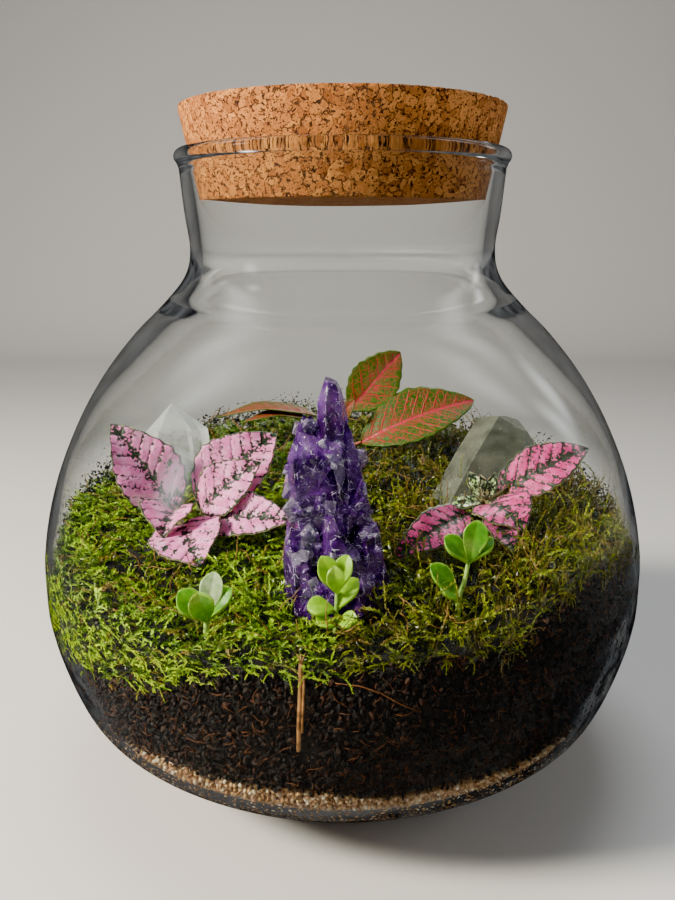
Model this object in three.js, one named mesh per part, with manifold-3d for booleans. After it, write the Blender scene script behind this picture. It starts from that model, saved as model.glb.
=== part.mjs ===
// A glass plant terrarium: a blown jar with a cork stopper, filled with sand, soil and moss,
// and planted with crystals and small leafy plants.
// Millimetres, +Z up, the front towards -Y. The origin is the middle of the flat base.
import * as THREE from 'three';
import { mergeVertices } from 'three/addons/utils/BufferGeometryUtils.js';
import Module from 'manifold-3d';

const wasm = await Module();
wasm.setup();

// ---- driving dimensions ----
const SIDES = 40; // facets round the jar and all that fills it
const GAP = 0.4; // clearance between pieces that touch

// Outside of the jar, radius and height, from the flat base up to the bead.
const JAR_OUTSIDE = [
  [44, 0], [52, 3], [64.7, 10], [78.1, 18], [89.2, 28.5], [95.8, 44], [99.8, 62], [99.7, 80],
  [95.5, 100], [88, 119], [78.8, 135], [68.1, 148.5], [58.5, 158], [51.4, 166.5], [49.2, 175],
  [50.6, 187], [51.8, 200],
];
// Inside of the jar, from the middle of the floor up to the bead.
const JAR_INSIDE = [
  [35, 4.5], [49.5, 6], [63.1, 12.7], [76.2, 20.5], [86.6, 30.4], [92.8, 45], [97, 62], [97.1, 80],
  [92.8, 99.5], [85, 117.5], [75.6, 132.5], [64.8, 145], [55, 154], [47.9, 162], [45.6, 171],
  [46.4, 185], [48.4, 200],
];
const FLOOR_THICKNESS = 4.2;
const BEAD = { radius: 51.1, z: 203.4, half: 2.2 }; // fire-polished ring at the mouth

const CORK = { bottomRadius: 45.6, topRadius: 51.6, bottom: 190, top: 218.4, edge: 0.8 };

const SAND_LEVEL = 36;
const SOIL_MIDDLE = 82;
// Height of the soil against the glass, at each azimuth: 0 is the front, 90 the right.
const SOIL_EDGE = [
  [-180, 92], [-140, 80], [-105, 66], [-80, 58], [-50, 57], [-30, 63], [-15, 72], [0, 74],
  [14, 76], [26, 73], [34, 82], [46, 87], [62, 84], [90, 78], [135, 86], [180, 92],
];
const MOSS = {
  middle: 94.5, slope: 0.2, sideDrop: 6, rightRise: 10, riseAt: 50, riseWidth: 22, thinnest: 5,
};
const SHOOT = { count: 300, radius: 1.7, shortest: 9, longest: 16, rootDepth: 2.5 };

// ---- small tools ----
let seed = 20261;
function random() {
  seed = (seed * 1664525 + 1013904223) % 4294967296;
  return seed / 4294967296;
}

const between = (low, high) => low + (high - low) * random();
const vec = (p) => new THREE.Vector3(...p);

// A value on a list of [place, value] pairs, eased between them.
function eased(pairs, place) {
  const next = Math.max(1, pairs.findIndex(([p]) => p >= place));
  const [p0, v0] = pairs[next - 1];
  const [p1, v1] = pairs[next];
  const t = THREE.MathUtils.smoothstep(place, p0, p1);
  return v0 + (v1 - v0) * t;
}

// Position only, vertices merged, no collapsed triangles, faces pointing out.
function closed(geometry) {
  const bare = geometry.clone();
  for (const name of Object.keys(bare.attributes)) {
    if (name !== 'position') bare.deleteAttribute(name);
  }
  const merged = mergeVertices(bare, 1e-4);
  const position = merged.getAttribute('position');
  const corners = [0, 1, 2].map(() => new THREE.Vector3());
  const kept = [];
  let volume = 0;
  for (let i = 0; i < merged.index.count; i += 3) {
    const ids = [0, 1, 2].map((k) => merged.index.getX(i + k));
    if (new Set(ids).size < 3) continue;
    corners.forEach((corner, k) => corner.fromBufferAttribute(position, ids[k]));
    volume += corners[0].dot(corners[1].clone().cross(corners[2]));
    kept.push(...ids);
  }
  if (volume < 0) {
    for (let i = 0; i < kept.length; i += 3) [kept[i], kept[i + 1]] = [kept[i + 1], kept[i]];
  }
  merged.setIndex(kept);
  return merged;
}

function solid(geometry) {
  const shape = closed(geometry);
  return new wasm.Manifold(new wasm.Mesh({
    numProp: 3,
    vertProperties: new Float32Array(shape.getAttribute('position').array),
    triVerts: new Uint32Array(shape.index.array),
  }));
}

function geometryOf(manifold) {
  const mesh = manifold.getMesh();
  const geometry = new THREE.BufferGeometry();
  geometry.setAttribute('position', new THREE.BufferAttribute(mesh.vertProperties, 3));
  geometry.setIndex(new THREE.BufferAttribute(mesh.triVerts, 1));
  return geometry;
}

const joined = (solids) => solids.reduce((whole, piece) => whole.add(piece));

// The largest body of a cut solid, so that no crumb is left beside it.
function mainBody(manifold) {
  const bodies = manifold.decompose();
  return bodies.reduce((best, body) => (body.volume() > best.volume() ? body : best));
}

// A closed skin over a list of rings, each with the same number of points.
// A ring of one point closes an end. Each quad is split from its outer ring's next point to its
// inner ring's point, so that two skins over the same rings never cross.
function skin(rings) {
  const points = [];
  const faces = [];
  const starts = rings.map((ring) => {
    const start = points.length;
    points.push(...ring);
    return start;
  });
  for (let i = 0; i + 1 < rings.length; i += 1) {
    const count = Math.max(rings[i].length, rings[i + 1].length);
    const low = (k) => starts[i] + (rings[i].length === 1 ? 0 : k % count);
    const high = (k) => starts[i + 1] + (rings[i + 1].length === 1 ? 0 : k % count);
    const outward = Math.hypot(...rings[i][0].slice(0, 2)) < Math.hypot(...rings[i + 1][0].slice(0, 2));
    for (let k = 0; k < count; k += 1) {
      const [a, b, c, d] = [low(k), low(k + 1), high(k + 1), high(k)];
      if (a === b) faces.push(a, c, d);
      else if (c === d) faces.push(a, b, c);
      else if (outward) faces.push(a, b, c, a, c, d);
      else faces.push(a, b, d, b, c, d);
    }
  }
  const geometry = new THREE.BufferGeometry();
  geometry.setAttribute('position', new THREE.Float32BufferAttribute(points.flat(), 3));
  geometry.setIndex(faces);
  return geometry;
}

const around = (point) => Array.from({ length: SIDES }, (_, k) => point((k / SIDES) * 2 * Math.PI));
// A point at an azimuth from the front, with the right at a quarter turn.
const polar = (radius, angle, z) => [radius * Math.sin(angle), -radius * Math.cos(angle), z];

function spun(profile) {
  const points = profile.map(([radius, z]) => new THREE.Vector2(radius, z));
  return new THREE.LatheGeometry(points, SIDES).rotateX(Math.PI / 2);
}

function smoothed(points, count) {
  const curve = new THREE.SplineCurve(points.map(([r, z]) => new THREE.Vector2(r, z)));
  return curve.getPoints(count).map((p) => [p.x, p.y]);
}

const material = (color, roughness, extra = {}) => new THREE.MeshStandardMaterial({
  color, roughness, metalness: 0, flatShading: true, ...extra,
});

function piece(name, manifoldOrGeometry, finish) {
  const geometry = manifoldOrGeometry.isBufferGeometry
    ? closed(manifoldOrGeometry)
    : geometryOf(manifoldOrGeometry);
  const mesh = new THREE.Mesh(geometry, finish);
  mesh.name = name;
  return mesh;
}

// ---- the jar and its stopper ----
const insideWall = smoothed(JAR_INSIDE, 14);

function jar() {
  const outside = smoothed(JAR_OUTSIDE, 14);
  const bead = [-45, 10, 90, 170].map((degrees) => {
    const angle = THREE.MathUtils.degToRad(degrees);
    return [BEAD.radius + BEAD.half * Math.cos(angle), BEAD.z + BEAD.half * Math.sin(angle)];
  });
  const inside = [...insideWall].reverse();
  return spun([[0, 0], ...outside, ...bead, ...inside, [0, FLOOR_THICKNESS]]);
}

function corkStopper() {
  const { bottomRadius, topRadius, bottom, top, edge } = CORK;
  return spun([
    [0, bottom], [bottomRadius - edge, bottom], [bottomRadius, bottom + edge],
    [(bottomRadius + topRadius) / 2, (bottom + top) / 2],
    [topRadius, top - edge], [topRadius - edge, top], [0, top],
  ]);
}

// ---- what lies in layers inside the jar ----
// The inside wall, moved in by the clearance.
const lining = insideWall.map(([radius, z], i) => {
  const [r0, z0] = insideWall[Math.max(0, i - 1)];
  const [r1, z1] = insideWall[Math.min(insideWall.length - 1, i + 1)];
  const length = Math.hypot(r1 - r0, z1 - z0);
  return [radius - (GAP * (z1 - z0)) / length, z + (GAP * (r1 - r0)) / length];
});

function liningRadius(z) {
  const next = Math.max(1, lining.findIndex(([, height]) => height >= z));
  const [r0, z0] = lining[next - 1];
  const [r1, z1] = lining[next];
  return THREE.MathUtils.mapLinear(z, z0, z1, r0, r1);
}

const SAND_RINGS = [0.8, 0.55, 0.3];
const SOIL_RINGS = [0.9, 0.78, 0.62, 0.42, 0.2];
const MOSS_RINGS = [0.96, 0.89, 0.81, 0.71, 0.6, 0.48, 0.35, 0.18];

function sandTop(x, y) {
  return SAND_LEVEL + 1.5 * Math.sin(x / 17 + 0.6) * Math.cos(y / 23) + 0.8 * Math.sin(x / 7 + y / 9);
}

function azimuthOf(x, y) {
  return THREE.MathUtils.radToDeg(Math.atan2(x, -y));
}

const RIM_RADIUS = 97; // where the soil and the moss meet the glass, near enough

function soilTop(x, y) {
  const out = Math.min(1, Math.hypot(x, y) / RIM_RADIUS);
  return THREE.MathUtils.lerp(SOIL_MIDDLE, eased(SOIL_EDGE, azimuthOf(x, y)), out ** 3);
}

function mossTop(x, y) {
  const out = Math.hypot(x, y) / RIM_RADIUS;
  const rise = MOSS.rightRise * Math.exp(-(((azimuthOf(x, y) - MOSS.riseAt) / MOSS.riseWidth) ** 2));
  const bumps = 1.7 * Math.sin(x / 6.5 + 1) * Math.cos(y / 7.5) + 1.1 * Math.sin(x / 3.7 - y / 4.9);
  const shape = MOSS.middle + MOSS.slope * y - MOSS.sideDrop * (x / RIM_RADIUS) ** 2;
  return Math.max(shape + rise * out ** 2 + bumps, soilTop(x, y) + MOSS.thinnest + 0.4 * bumps);
}

// The edge of a surface, where it meets the lining.
function edgeRing(top, lift = 0) {
  return around((angle) => {
    let radius = RIM_RADIUS;
    let z = 0;
    for (let pass = 0; pass < 4; pass += 1) {
      const [x, y] = polar(radius, angle, 0);
      z = top(x, y) + lift;
      radius = liningRadius(z);
    }
    return polar(radius, angle, z);
  });
}

// The rest of a surface, as rings inside its edge.
function innerRings(top, fractions, edge, lift = 0) {
  const rings = fractions.map((fraction) => edge.map(([x, y]) => {
    const [px, py] = [x * fraction, y * fraction];
    return [px, py, top(px, py) + lift];
  }));
  return [...rings, [[0, 0, top(0, 0) + lift]]];
}

function sideRings(low, high, fractions) {
  return fractions.map((fraction) => low.map(([x, y, z], k) => {
    const level = THREE.MathUtils.lerp(z, high[k][2], fraction);
    const scale = liningRadius(level) / Math.hypot(x, y);
    return [x * scale, y * scale, level];
  }));
}

const sandEdge = edgeRing(sandTop);
const soilEdge = edgeRing(soilTop);
const mossEdge = edgeRing(mossTop);

function sandLayer() {
  const floor = lining.filter(([, z]) => z < SAND_LEVEL - 4);
  return skin([
    [[0, 0, FLOOR_THICKNESS + GAP]],
    ...floor.map(([radius, z]) => around((angle) => polar(radius, angle, z))),
    sandEdge,
    ...innerRings(sandTop, SAND_RINGS, sandEdge),
  ]);
}

function soilBed() {
  const bottomEdge = edgeRing(sandTop, GAP);
  const bottom = innerRings(sandTop, SAND_RINGS, sandEdge, GAP).reverse();
  return skin([
    ...bottom,
    bottomEdge,
    ...sideRings(bottomEdge, soilEdge, [0.25, 0.5, 0.75]),
    soilEdge,
    ...innerRings(soilTop, SOIL_RINGS, soilEdge),
  ]);
}

function mossMat() {
  const bottomEdge = edgeRing(soilTop, GAP);
  const bottom = innerRings(soilTop, SOIL_RINGS, soilEdge, GAP).reverse();
  return skin([
    ...bottom,
    bottomEdge,
    ...sideRings(bottomEdge, mossEdge, [0.35, 0.7]),
    mossEdge,
    ...innerRings(mossTop, MOSS_RINGS, mossEdge),
  ]);
}

// One upright or leaning moss shoot: a three-sided spike rooted in the mat.
function shoot(x, y) {
  const length = between(SHOOT.shortest, SHOOT.longest);
  const heading = random() * 2 * Math.PI;
  const lean = between(0.1, 0.75) * length;
  const foot = new THREE.Vector3(x, y, mossTop(x, y) - SHOOT.rootDepth);
  const tip = foot.clone().add(new THREE.Vector3(
    lean * Math.cos(heading), lean * Math.sin(heading), length - lean * 0.4 + SHOOT.rootDepth,
  ));
  for (const end of [foot, tip]) {
    const reach = Math.hypot(end.x, end.y);
    const room = liningRadius(end.z) - 2 * SHOOT.radius;
    if (reach > room) end.set((end.x * room) / reach, (end.y * room) / reach, end.z);
  }
  const base = [0, 1, 2].map((k) => {
    const angle = heading + (k * 2 * Math.PI) / 3;
    return [foot.x + SHOOT.radius * Math.cos(angle), foot.y + SHOOT.radius * Math.sin(angle), foot.z];
  });
  return solid(skin([[foot.toArray()], base, [tip.toArray()]]));
}

// ---- leaves and stems ----
const OUTLINES = {
  ovate: (t) => Math.sin(Math.PI * t ** 0.72) ** 0.9,
  oval: (t) => Math.sin(Math.PI * t ** 0.9) ** 0.75,
  spoon: (t) => Math.sin(Math.PI * t ** 1.7) ** 0.8,
};
const BLADE_THICKNESS = 0.8;
const PETIOLE = 0.75; // radius of a leaf's own short stalk
const END_WIDTH = 0.12; // a blade's blunt ends, as a share of its width

// A thin blade from base to tip. face is the way its upper side looks, fold lifts its halves,
// arch bows it up along its length and wave ripples its margin.
function blade({
  base, tip, face, width, outline = 'ovate', fold = 0.2, arch = 0.1, wave = 0, waves = 3,
  rows = 7, columns = 2, thickness = BLADE_THICKNESS,
}) {
  const start = vec(base);
  const along = vec(tip).sub(start);
  const length = along.length();
  along.normalize();
  const across = along.clone().cross(vec(face)).normalize();
  const up = across.clone().cross(along);
  const sheet = (lift) => {
    const grid = [];
    for (let i = 0; i <= rows; i += 1) {
      const t = i / rows;
      const half = (width / 2) * Math.max(END_WIDTH, OUTLINES[outline](t));
      for (let j = 0; j <= columns; j += 1) {
        const s = (2 * j) / columns - 1;
        const ripple = wave * s * s * Math.sin(2 * Math.PI * waves * t + (s > 0 ? 0 : 1.3));
        const rise = 4 * arch * length * t * (1 - t) + fold * half * Math.abs(s) + ripple + lift;
        grid.push(start.clone()
          .addScaledVector(along, length * t)
          .addScaledVector(across, half * s)
          .addScaledVector(up, rise)
          .toArray());
      }
    }
    return grid;
  };
  const count = (rows + 1) * (columns + 1);
  const at = (i, j) => i * (columns + 1) + j;
  const faces = [];
  for (let i = 0; i < rows; i += 1) {
    for (let j = 0; j < columns; j += 1) {
      const [a, b, c, d] = [at(i, j), at(i, j + 1), at(i + 1, j + 1), at(i + 1, j)];
      faces.push(a, b, c, a, c, d);
      faces.push(count + a, count + c, count + b, count + a, count + d, count + c);
    }
  }
  const rim = [];
  for (let j = 0; j < columns; j += 1) rim.push(at(0, j));
  for (let i = 0; i < rows; i += 1) rim.push(at(i, columns));
  for (let j = columns; j > 0; j -= 1) rim.push(at(rows, j));
  for (let i = rows; i > 0; i -= 1) rim.push(at(i, 0));
  rim.forEach((a, k) => {
    const b = rim[(k + 1) % rim.length];
    faces.push(b, a, count + a, b, count + a, count + b);
  });
  const geometry = new THREE.BufferGeometry();
  const points = [...sheet(thickness / 2), ...sheet(-thickness / 2)];
  geometry.setAttribute('position', new THREE.Float32BufferAttribute(points.flat(), 3));
  geometry.setIndex(faces);
  return solid(geometry);
}

// A blade on a short petiole that leaves its stem at a point of the stem.
function leaf({ from, ...shape }) {
  const along = vec(shape.tip).sub(vec(shape.base)).normalize();
  const inBlade = vec(shape.base).add(along).toArray();
  return blade(shape).add(stalk([from, inBlade], PETIOLE, 1, 4));
}

function stalk(points, radius, steps = 2 * (points.length - 1), sides = 6) {
  const path = new THREE.CatmullRomCurve3(points.map(vec));
  const round = Array.from({ length: sides }, (_, k) => {
    const angle = (k * 2 * Math.PI) / sides;
    return new THREE.Vector2(radius * Math.cos(angle), radius * Math.sin(angle));
  });
  const settings = { steps, extrudePath: path, bevelEnabled: false };
  return solid(new THREE.ExtrudeGeometry(new THREE.Shape(round), settings));
}

const UP = [0, 0, 1];
const FRONT_UP = [0, -0.75, 0.65];

// Two shoots on one root, with seven broad pink leaves.
function leftPolkaDotPlant() {
  const left = [-53, -25.5, 93];
  const right = [-43.5, -26, 93];
  const wavy = { wave: 0.7, waves: 2.5 };
  const atLeft = { ...wavy, from: left };
  const atRight = { ...wavy, from: right };
  return joined([
    stalk([[-48, -27, 78.6], [-48, -27, 86], left], 1.3),
    stalk([[-48, -27, 84], [-46.5, -26.5, 88], right], 1.2),
    leaf({ ...atLeft, base: [-54.4, -24.5, 94.5], tip: [-72, -26, 121], face: [0.5, -0.75, 0.4], width: 22 }),
    leaf({ ...atLeft, base: [-51.5, -28.5, 94], tip: [-42, -52, 87], face: [-0.1, -0.5, 0.8], width: 21 }),
    leaf({ ...atLeft, base: [-54, -27, 95.5], tip: [-57, -40, 93], face: [0, -0.2, 1], width: 14, fold: 0.75 }),
    leaf({
      ...atLeft, base: [-52.4, -26, 94.5], tip: [-51.5, -27.5, 103.5], face: FRONT_UP, width: 4.5,
    }),
    leaf({ ...atRight, base: [-43, -24, 94.5], tip: [-25, -15, 115.5], face: [-0.3, -0.8, 0.5], width: 17 }),
    leaf({ ...atRight, base: [-43.5, -27.5, 95], tip: [-26.5, -29, 113], face: [-0.4, -0.8, 0.35], width: 15 }),
    leaf({
      ...atRight, base: [-42, -28, 94.5], tip: [-17, -41, 99], face: [0, -0.6, 0.8], width: 13, arch: 0.12,
    }),
  ]);
}

// One stem with a bud of young leaves over seven spreading ones.
function rightPolkaDotPlant() {
  const top = [46, -22.5, 97];
  const low = [46, -24, 91];
  const wavy = { wave: 0.5, waves: 2.5 };
  const atTop = { ...wavy, from: top };
  const small = { ...atTop, rows: 4 };
  return joined([
    stalk([[46, -24, 78.6], low, top], 1.3),
    leaf({ ...atTop, base: [54, -15.5, 100], tip: [79, -17, 112.5], face: [-0.2, -0.7, 0.7], width: 12.5 }),
    leaf({ ...atTop, base: [48, -25, 97.6], tip: [54, -41, 93.4], face: [0.05, -0.6, 0.8], width: 15, arch: 0.16 }),
    leaf({
      ...wavy, from: low, base: [40, -29, 94], tip: [15.5, -51.5, 88.2], face: [-0.1, -0.75, 0.7], width: 9.5, arch: 0.14,
    }),
    leaf({ ...wavy, from: low, base: [47.5, -28, 92.5], tip: [51.5, -51.5, 90], face: [0, -0.7, 0.7], width: 9 }),
    leaf({ ...small, base: [51, -18, 98.5], tip: [58.5, -9, 109], face: [-0.5, -0.7, 0.4], width: 4 }),
    leaf({ ...small, base: [44, -24, 97.5], tip: [32, -31, 97], face: [0, -0.6, 0.8], width: 4.5 }),
    leaf({ ...small, base: [44.8, -22, 98.5], tip: [41.5, -18, 104.5], face: FRONT_UP, width: 4 }),
    leaf({ ...small, base: [45.6, -23, 98.8], tip: [43.8, -24, 105], face: [0.2, -0.9, 0.3], width: 3 }),
    leaf({ ...small, base: [46.6, -22.5, 98.8], tip: [48, -23, 105.5], face: [-0.2, -0.9, 0.3], width: 3 }),
  ]);
}

// A low stem at the back with five oval net-veined leaves.
function nervePlant() {
  const low = [-1, 42, 101];
  const middle = [-1, 42, 107];
  const top = [1.5, 43.5, 116];
  const flat = { outline: 'oval', wave: 0.3, waves: 2 };
  return joined([
    stalk([[-1, 42, 80.5], [-1, 42, 92], low, middle, top], 1.2, 6),
    leaf({ ...flat, from: low, base: [8, 35.5, 103.8], tip: [51, 41, 118.5], face: [-0.25, -0.75, 0.7], width: 22 }),
    leaf({ ...flat, from: top, base: [2.5, 44, 118], tip: [22, 46, 134.5], face: [0.1, -0.9, 0.2], width: 17 }),
    leaf({
      ...flat, from: middle, base: [-0.8, 38.3, 115.5], tip: [5, 35, 124.5], face: [-0.4, -0.9, 0.2], width: 6.5,
    }),
    leaf({ ...flat, from: middle, base: [-10, 45.8, 113], tip: [-48.5, 45, 113.4], face: [0, -0.12, 1], width: 14 }),
    leaf({ ...flat, from: middle, base: [-14, 42.5, 112], tip: [-38, 36, 112.6], face: [0, -0.12, 1], width: 10 }),
  ]);
}

const FLESHY = { outline: 'spoon', rows: 4, thickness: 1.1, fold: 0.25 };

// The sprouts' fleshy leaves have no stalks: each grows straight out of the stem at a node.
const fleshyLeaf = (node, tip, face, width) => blade({ ...FLESHY, base: node, tip, face, width });

function leftSprout() {
  const node = [-36.4, -76.8, 79.5];
  return joined([
    stalk([[-36.6, -76.5, 74.6], node, [-36.2, -76.8, 81]], 1, 2),
    fleshyLeaf(node, [-43.2, -78, 88.4], [0.2, -0.9, 0.5], 6.6),
    fleshyLeaf(node, [-37.8, -80.5, 89.2], [0.1, -0.9, 0.35], 6.8),
    fleshyLeaf(node, [-35, -74, 91.2], [0, -0.95, 0.3], 5.6),
    fleshyLeaf(node, [-29.6, -76, 88.2], [-0.5, -0.8, 0.3], 4.8),
  ]);
}

function middleSprout() {
  const [low, middle, top] = [[-2, -81.2, 80.5], [-1.9, -81.4, 84.5], [-1.7, -81.6, 89.5]];
  return joined([
    stalk([[-2.2, -81, 74.6], low, middle, top], 1.1, 4),
    fleshyLeaf(top, [-5.8, -82.5, 99.6], [0.25, -0.9, 0.3], 5.4),
    fleshyLeaf(top, [1.2, -80.5, 99.2], [-0.25, -0.9, 0.3], 4.8),
    fleshyLeaf(top, [-2.4, -85, 98], [0, -0.9, 0.35], 4.6),
    fleshyLeaf(middle, [-9.4, -83.8, 86.6], [0.1, -0.6, 0.8], 5),
    fleshyLeaf(middle, [3.8, -79.8, 92.4], [-0.5, -0.8, 0.4], 4.8),
    fleshyLeaf(low, [-6.9, -86.4, 83.4], [0, -0.5, 0.9], 5.4),
    fleshyLeaf(low, [3.4, -86, 83.8], [0, -0.6, 0.8], 4.8),
  ]);
}

function rightSprout() {
  const [low, middle, top] = [[31.2, -72, 83.5], [32.6, -71.4, 88], [33.6, -71, 93.5]];
  return joined([
    stalk([[31.2, -72, 75.4], low, middle, top], 1, 4),
    fleshyLeaf(top, [35.8, -70.4, 105.4], [0, -0.95, 0.3], 6.6),
    fleshyLeaf(top, [26.8, -72, 101.4], [0.3, -0.8, 0.5], 5.2),
    fleshyLeaf(top, [40.2, -69.6, 100], [-0.4, -0.8, 0.5], 4),
    fleshyLeaf(top, [38.4, -66, 97], [-0.3, -0.4, 0.9], 4.2),
    fleshyLeaf(low, [23, -74, 94], [0.4, -0.8, 0.5], 5.6),
    fleshyLeaf(low, [25.6, -76.8, 88.6], [0.3, -0.6, 0.8], 4.8),
  ]);
}

// ---- crystals ----
const CRYSTAL_FLOOR = 79; // the crystals stand in seats cut this deep in the soil

// One leaning crystal: uneven faces, a slight taper and a point set off the middle.
function crystal({ foot, tip, radius, sides = 6, taper = 0.8, shoulder = 0.72, turn = 0 }) {
  const start = vec(foot);
  const along = vec(tip).sub(start);
  const tilt = new THREE.Quaternion().setFromUnitVectors(vec(UP), along.clone().normalize());
  const ring = (share, size) => Array.from({ length: sides }, (_, k) => {
    const angle = turn + ((k + 0.18 * Math.sin(2.4 * k + turn)) * 2 * Math.PI) / sides;
    const uneven = radius * size * (1 + 0.1 * Math.cos(3.1 * k + turn));
    return new THREE.Vector3(uneven * Math.cos(angle), uneven * Math.sin(angle), 0)
      .applyQuaternion(tilt)
      .addScaledVector(along, share)
      .add(start)
      .toArray();
  });
  return solid(skin([[start.toArray()], ring(0.001, 1), ring(shoulder, taper), [vec(tip).toArray()]]));
}

// A level cut under a crystal, so that it stands on a flat foot.
function standingOn(level, body) {
  const block = new THREE.BoxGeometry(80, 80, 60).translate(0, 0, level - 30);
  const { min, max } = body.boundingBox();
  return body.subtract(solid(block.translate((min[0] + max[0]) / 2, (min[1] + max[1]) / 2, 0)));
}

// The grown cluster: a slim leaning point over a crowd of blunter ones.
const AMETHYST = [
  { foot: [-3, -65, 110], tip: [-3.7, -66, 142.4], radius: 5.6, shoulder: 0.62, taper: 0.66, turn: 0.4 },
  { foot: [-5, -66, 76], tip: [-10.5, -66, 133.5], radius: 10.4, shoulder: 0.8, turn: 0.2 },
  { foot: [-1, -64, 76], tip: [0.6, -65, 132], radius: 11, shoulder: 0.78, taper: 0.62, sides: 5, turn: 0.9 },
  { foot: [0, -65, 96], tip: [6.9, -65.5, 121], radius: 4.6, sides: 5, taper: 0.9, turn: 0.3 },
  { foot: [6, -65, 76], tip: [6, -66, 108], radius: 8, taper: 0.7, turn: 0.7 },
  { foot: [8, -67, 74], tip: [9.5, -68, 98], radius: 5.8, sides: 5, turn: 0.1 },
  { foot: [-3, -71, 75], tip: [-3.5, -74, 110], radius: 8, taper: 0.75, sides: 5, turn: 0.5 },
  { foot: [-8.5, -70, 75], tip: [-11.5, -72, 106], radius: 6.8, shoulder: 0.8, turn: 0.8 },
  { foot: [3, -72, 75], tip: [4, -74, 95], radius: 7, sides: 5, turn: 0 },
  { foot: [-10.5, -64, 78], tip: [-14.4, -64, 124], radius: 5.4, sides: 5, taper: 0.7, turn: 0.6 },
  { foot: [-4, -58, 75], tip: [-6, -60, 118], radius: 9, turn: 0.25 },
  { foot: [5, -59, 75], tip: [6, -59, 104], radius: 7.5, sides: 5, turn: 0.45 },
];
const CLEAR_QUARTZ = [
  { foot: [-60, 23, 70], tip: [-63.5, 30, 124], radius: 13.5, taper: 0.9, shoulder: 0.78, turn: 0.35 },
];
const SMOKY_QUARTZ = [
  { foot: [38, -3, 70], tip: [63, 20, 118.5], radius: 13.6, taper: 0.9, shoulder: 0.87, turn: 0.1 },
];

// A stone standing in its seat, or the room that it needs when grown by its clearance.
function stone(points, grown = 0) {
  const crystals = points.map((point) => crystal({ ...point, radius: point.radius + grown }));
  return standingOn(CRYSTAL_FLOOR + GAP - grown, joined(crystals));
}

// ---- holes that things stand in ----
// A body thickened by the clearance on all sides, to cut room for it.
function roomFor(body) {
  const steps = [[GAP, 0, 0], [-GAP, 0, 0], [0, GAP, 0], [0, -GAP, 0], [0, 0, GAP], [0, 0, -GAP]];
  return joined(steps.map((step) => body.translate(step)));
}

const STEM_HOLES = [
  [-48, -27, 78, 2], [46, -24, 78, 2], [-1, 42, 80, 2],
  [-36.6, -76.5, 74, 1.7], [-2.2, -81, 74, 1.8], [31.2, -72, 75, 1.7],
];
const HOLE_TOP = 130;

function stemHole([x, y, bottom, radius]) {
  const height = HOLE_TOP - bottom;
  const hole = new THREE.CylinderGeometry(radius, radius, height, 8).rotateX(Math.PI / 2);
  return solid(hole.translate(x, y, bottom + height / 2));
}

// A twig pressed against the front glass, flat in a groove of the soil.
const TWIG_PATH = [[-10.2, -94.4, 78.5], [-10.5, -94.6, 70], [-10.9, -93.9, 61], [-11.2, -90.8, 50]];

function dryTwig(radius) {
  const path = new THREE.CatmullRomCurve3(TWIG_PATH.map(vec));
  const section = [[-1, -0.6], [0.4, -0.9], [1, -0.1], [0.7, 0.7], [-0.5, 0.8]].map(
    ([a, b]) => new THREE.Vector2(a * radius, b * radius),
  );
  const settings = { steps: 6, extrudePath: path, bevelEnabled: false };
  return solid(new THREE.ExtrudeGeometry(new THREE.Shape(section), settings));
}

// ---- putting it together ----
const STONES = [AMETHYST, CLEAR_QUARTZ, SMOKY_QUARTZ];
const stones = STONES.map((points) => stone(points));
const plants = [
  leftPolkaDotPlant(), rightPolkaDotPlant(), nervePlant(), leftSprout(), middleSprout(), rightSprout(),
];
const stoneRoom = joined(STONES.map((points) => stone(points, 1.4 * GAP)));
const plantRoom = joined(plants.map((plant) => roomFor(plant)));
const stemRoom = joined(STEM_HOLES.map(stemHole));
const twigRoom = dryTwig(1.6);

const soil = mainBody(solid(soilBed()).subtract(stoneRoom).subtract(stemRoom).subtract(twigRoom));
const matCore = solid(mossMat()).subtract(stoneRoom).subtract(stemRoom)
  .subtract(plantRoom).subtract(twigRoom);

// The mat grows in four cushions, parted along two lines.
const CUSHIONS = {
  moss_front_left: [-1, -1], moss_front_right: [1, -1], moss_back_left: [-1, 1], moss_back_right: [1, 1],
};
const PARTING = { x: -2, y: 8, gap: GAP / 2 };
const HALF = 120;

function cushionBlock([sideX, sideY]) {
  const block = new THREE.BoxGeometry(HALF, HALF, 2 * HALF);
  return solid(block.translate(
    PARTING.x + sideX * (HALF / 2 + PARTING.gap), PARTING.y + sideY * (HALF / 2 + PARTING.gap), HALF,
  ));
}

// Shoots spread evenly over the mat on a sunflower spiral; one that would touch a stone, a plant
// or a neighbouring cushion is left out.
function shootsIn(block, core) {
  const shoots = [];
  for (let i = 0; i < SHOOT.count; i += 1) {
    const radius = 95 * Math.sqrt((i + 0.5) / SHOOT.count);
    const angle = i * Math.PI * (3 - Math.sqrt(5));
    const [x, y] = polar(radius, angle, 0);
    const spike = shoot(x + between(-2, 2), y + between(-2, 2));
    const { min, max } = spike.boundingBox();
    const box = block.boundingBox();
    const inside = min[0] > box.min[0] && max[0] < box.max[0] && min[1] > box.min[1] && max[1] < box.max[1];
    if (!inside || !spike.intersect(obstacles).isEmpty()) continue;
    if (spike.intersect(core).volume() < 0.5) continue;
    shoots.push(spike);
  }
  return shoots;
}

const obstacles = stoneRoom.add(plantRoom);

function cushion(name) {
  seed = 20261;
  const block = cushionBlock(CUSHIONS[name]);
  const core = mainBody(matCore.intersect(block));
  return mainBody(joined([core, ...shootsIn(block, core)]));
}

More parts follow.
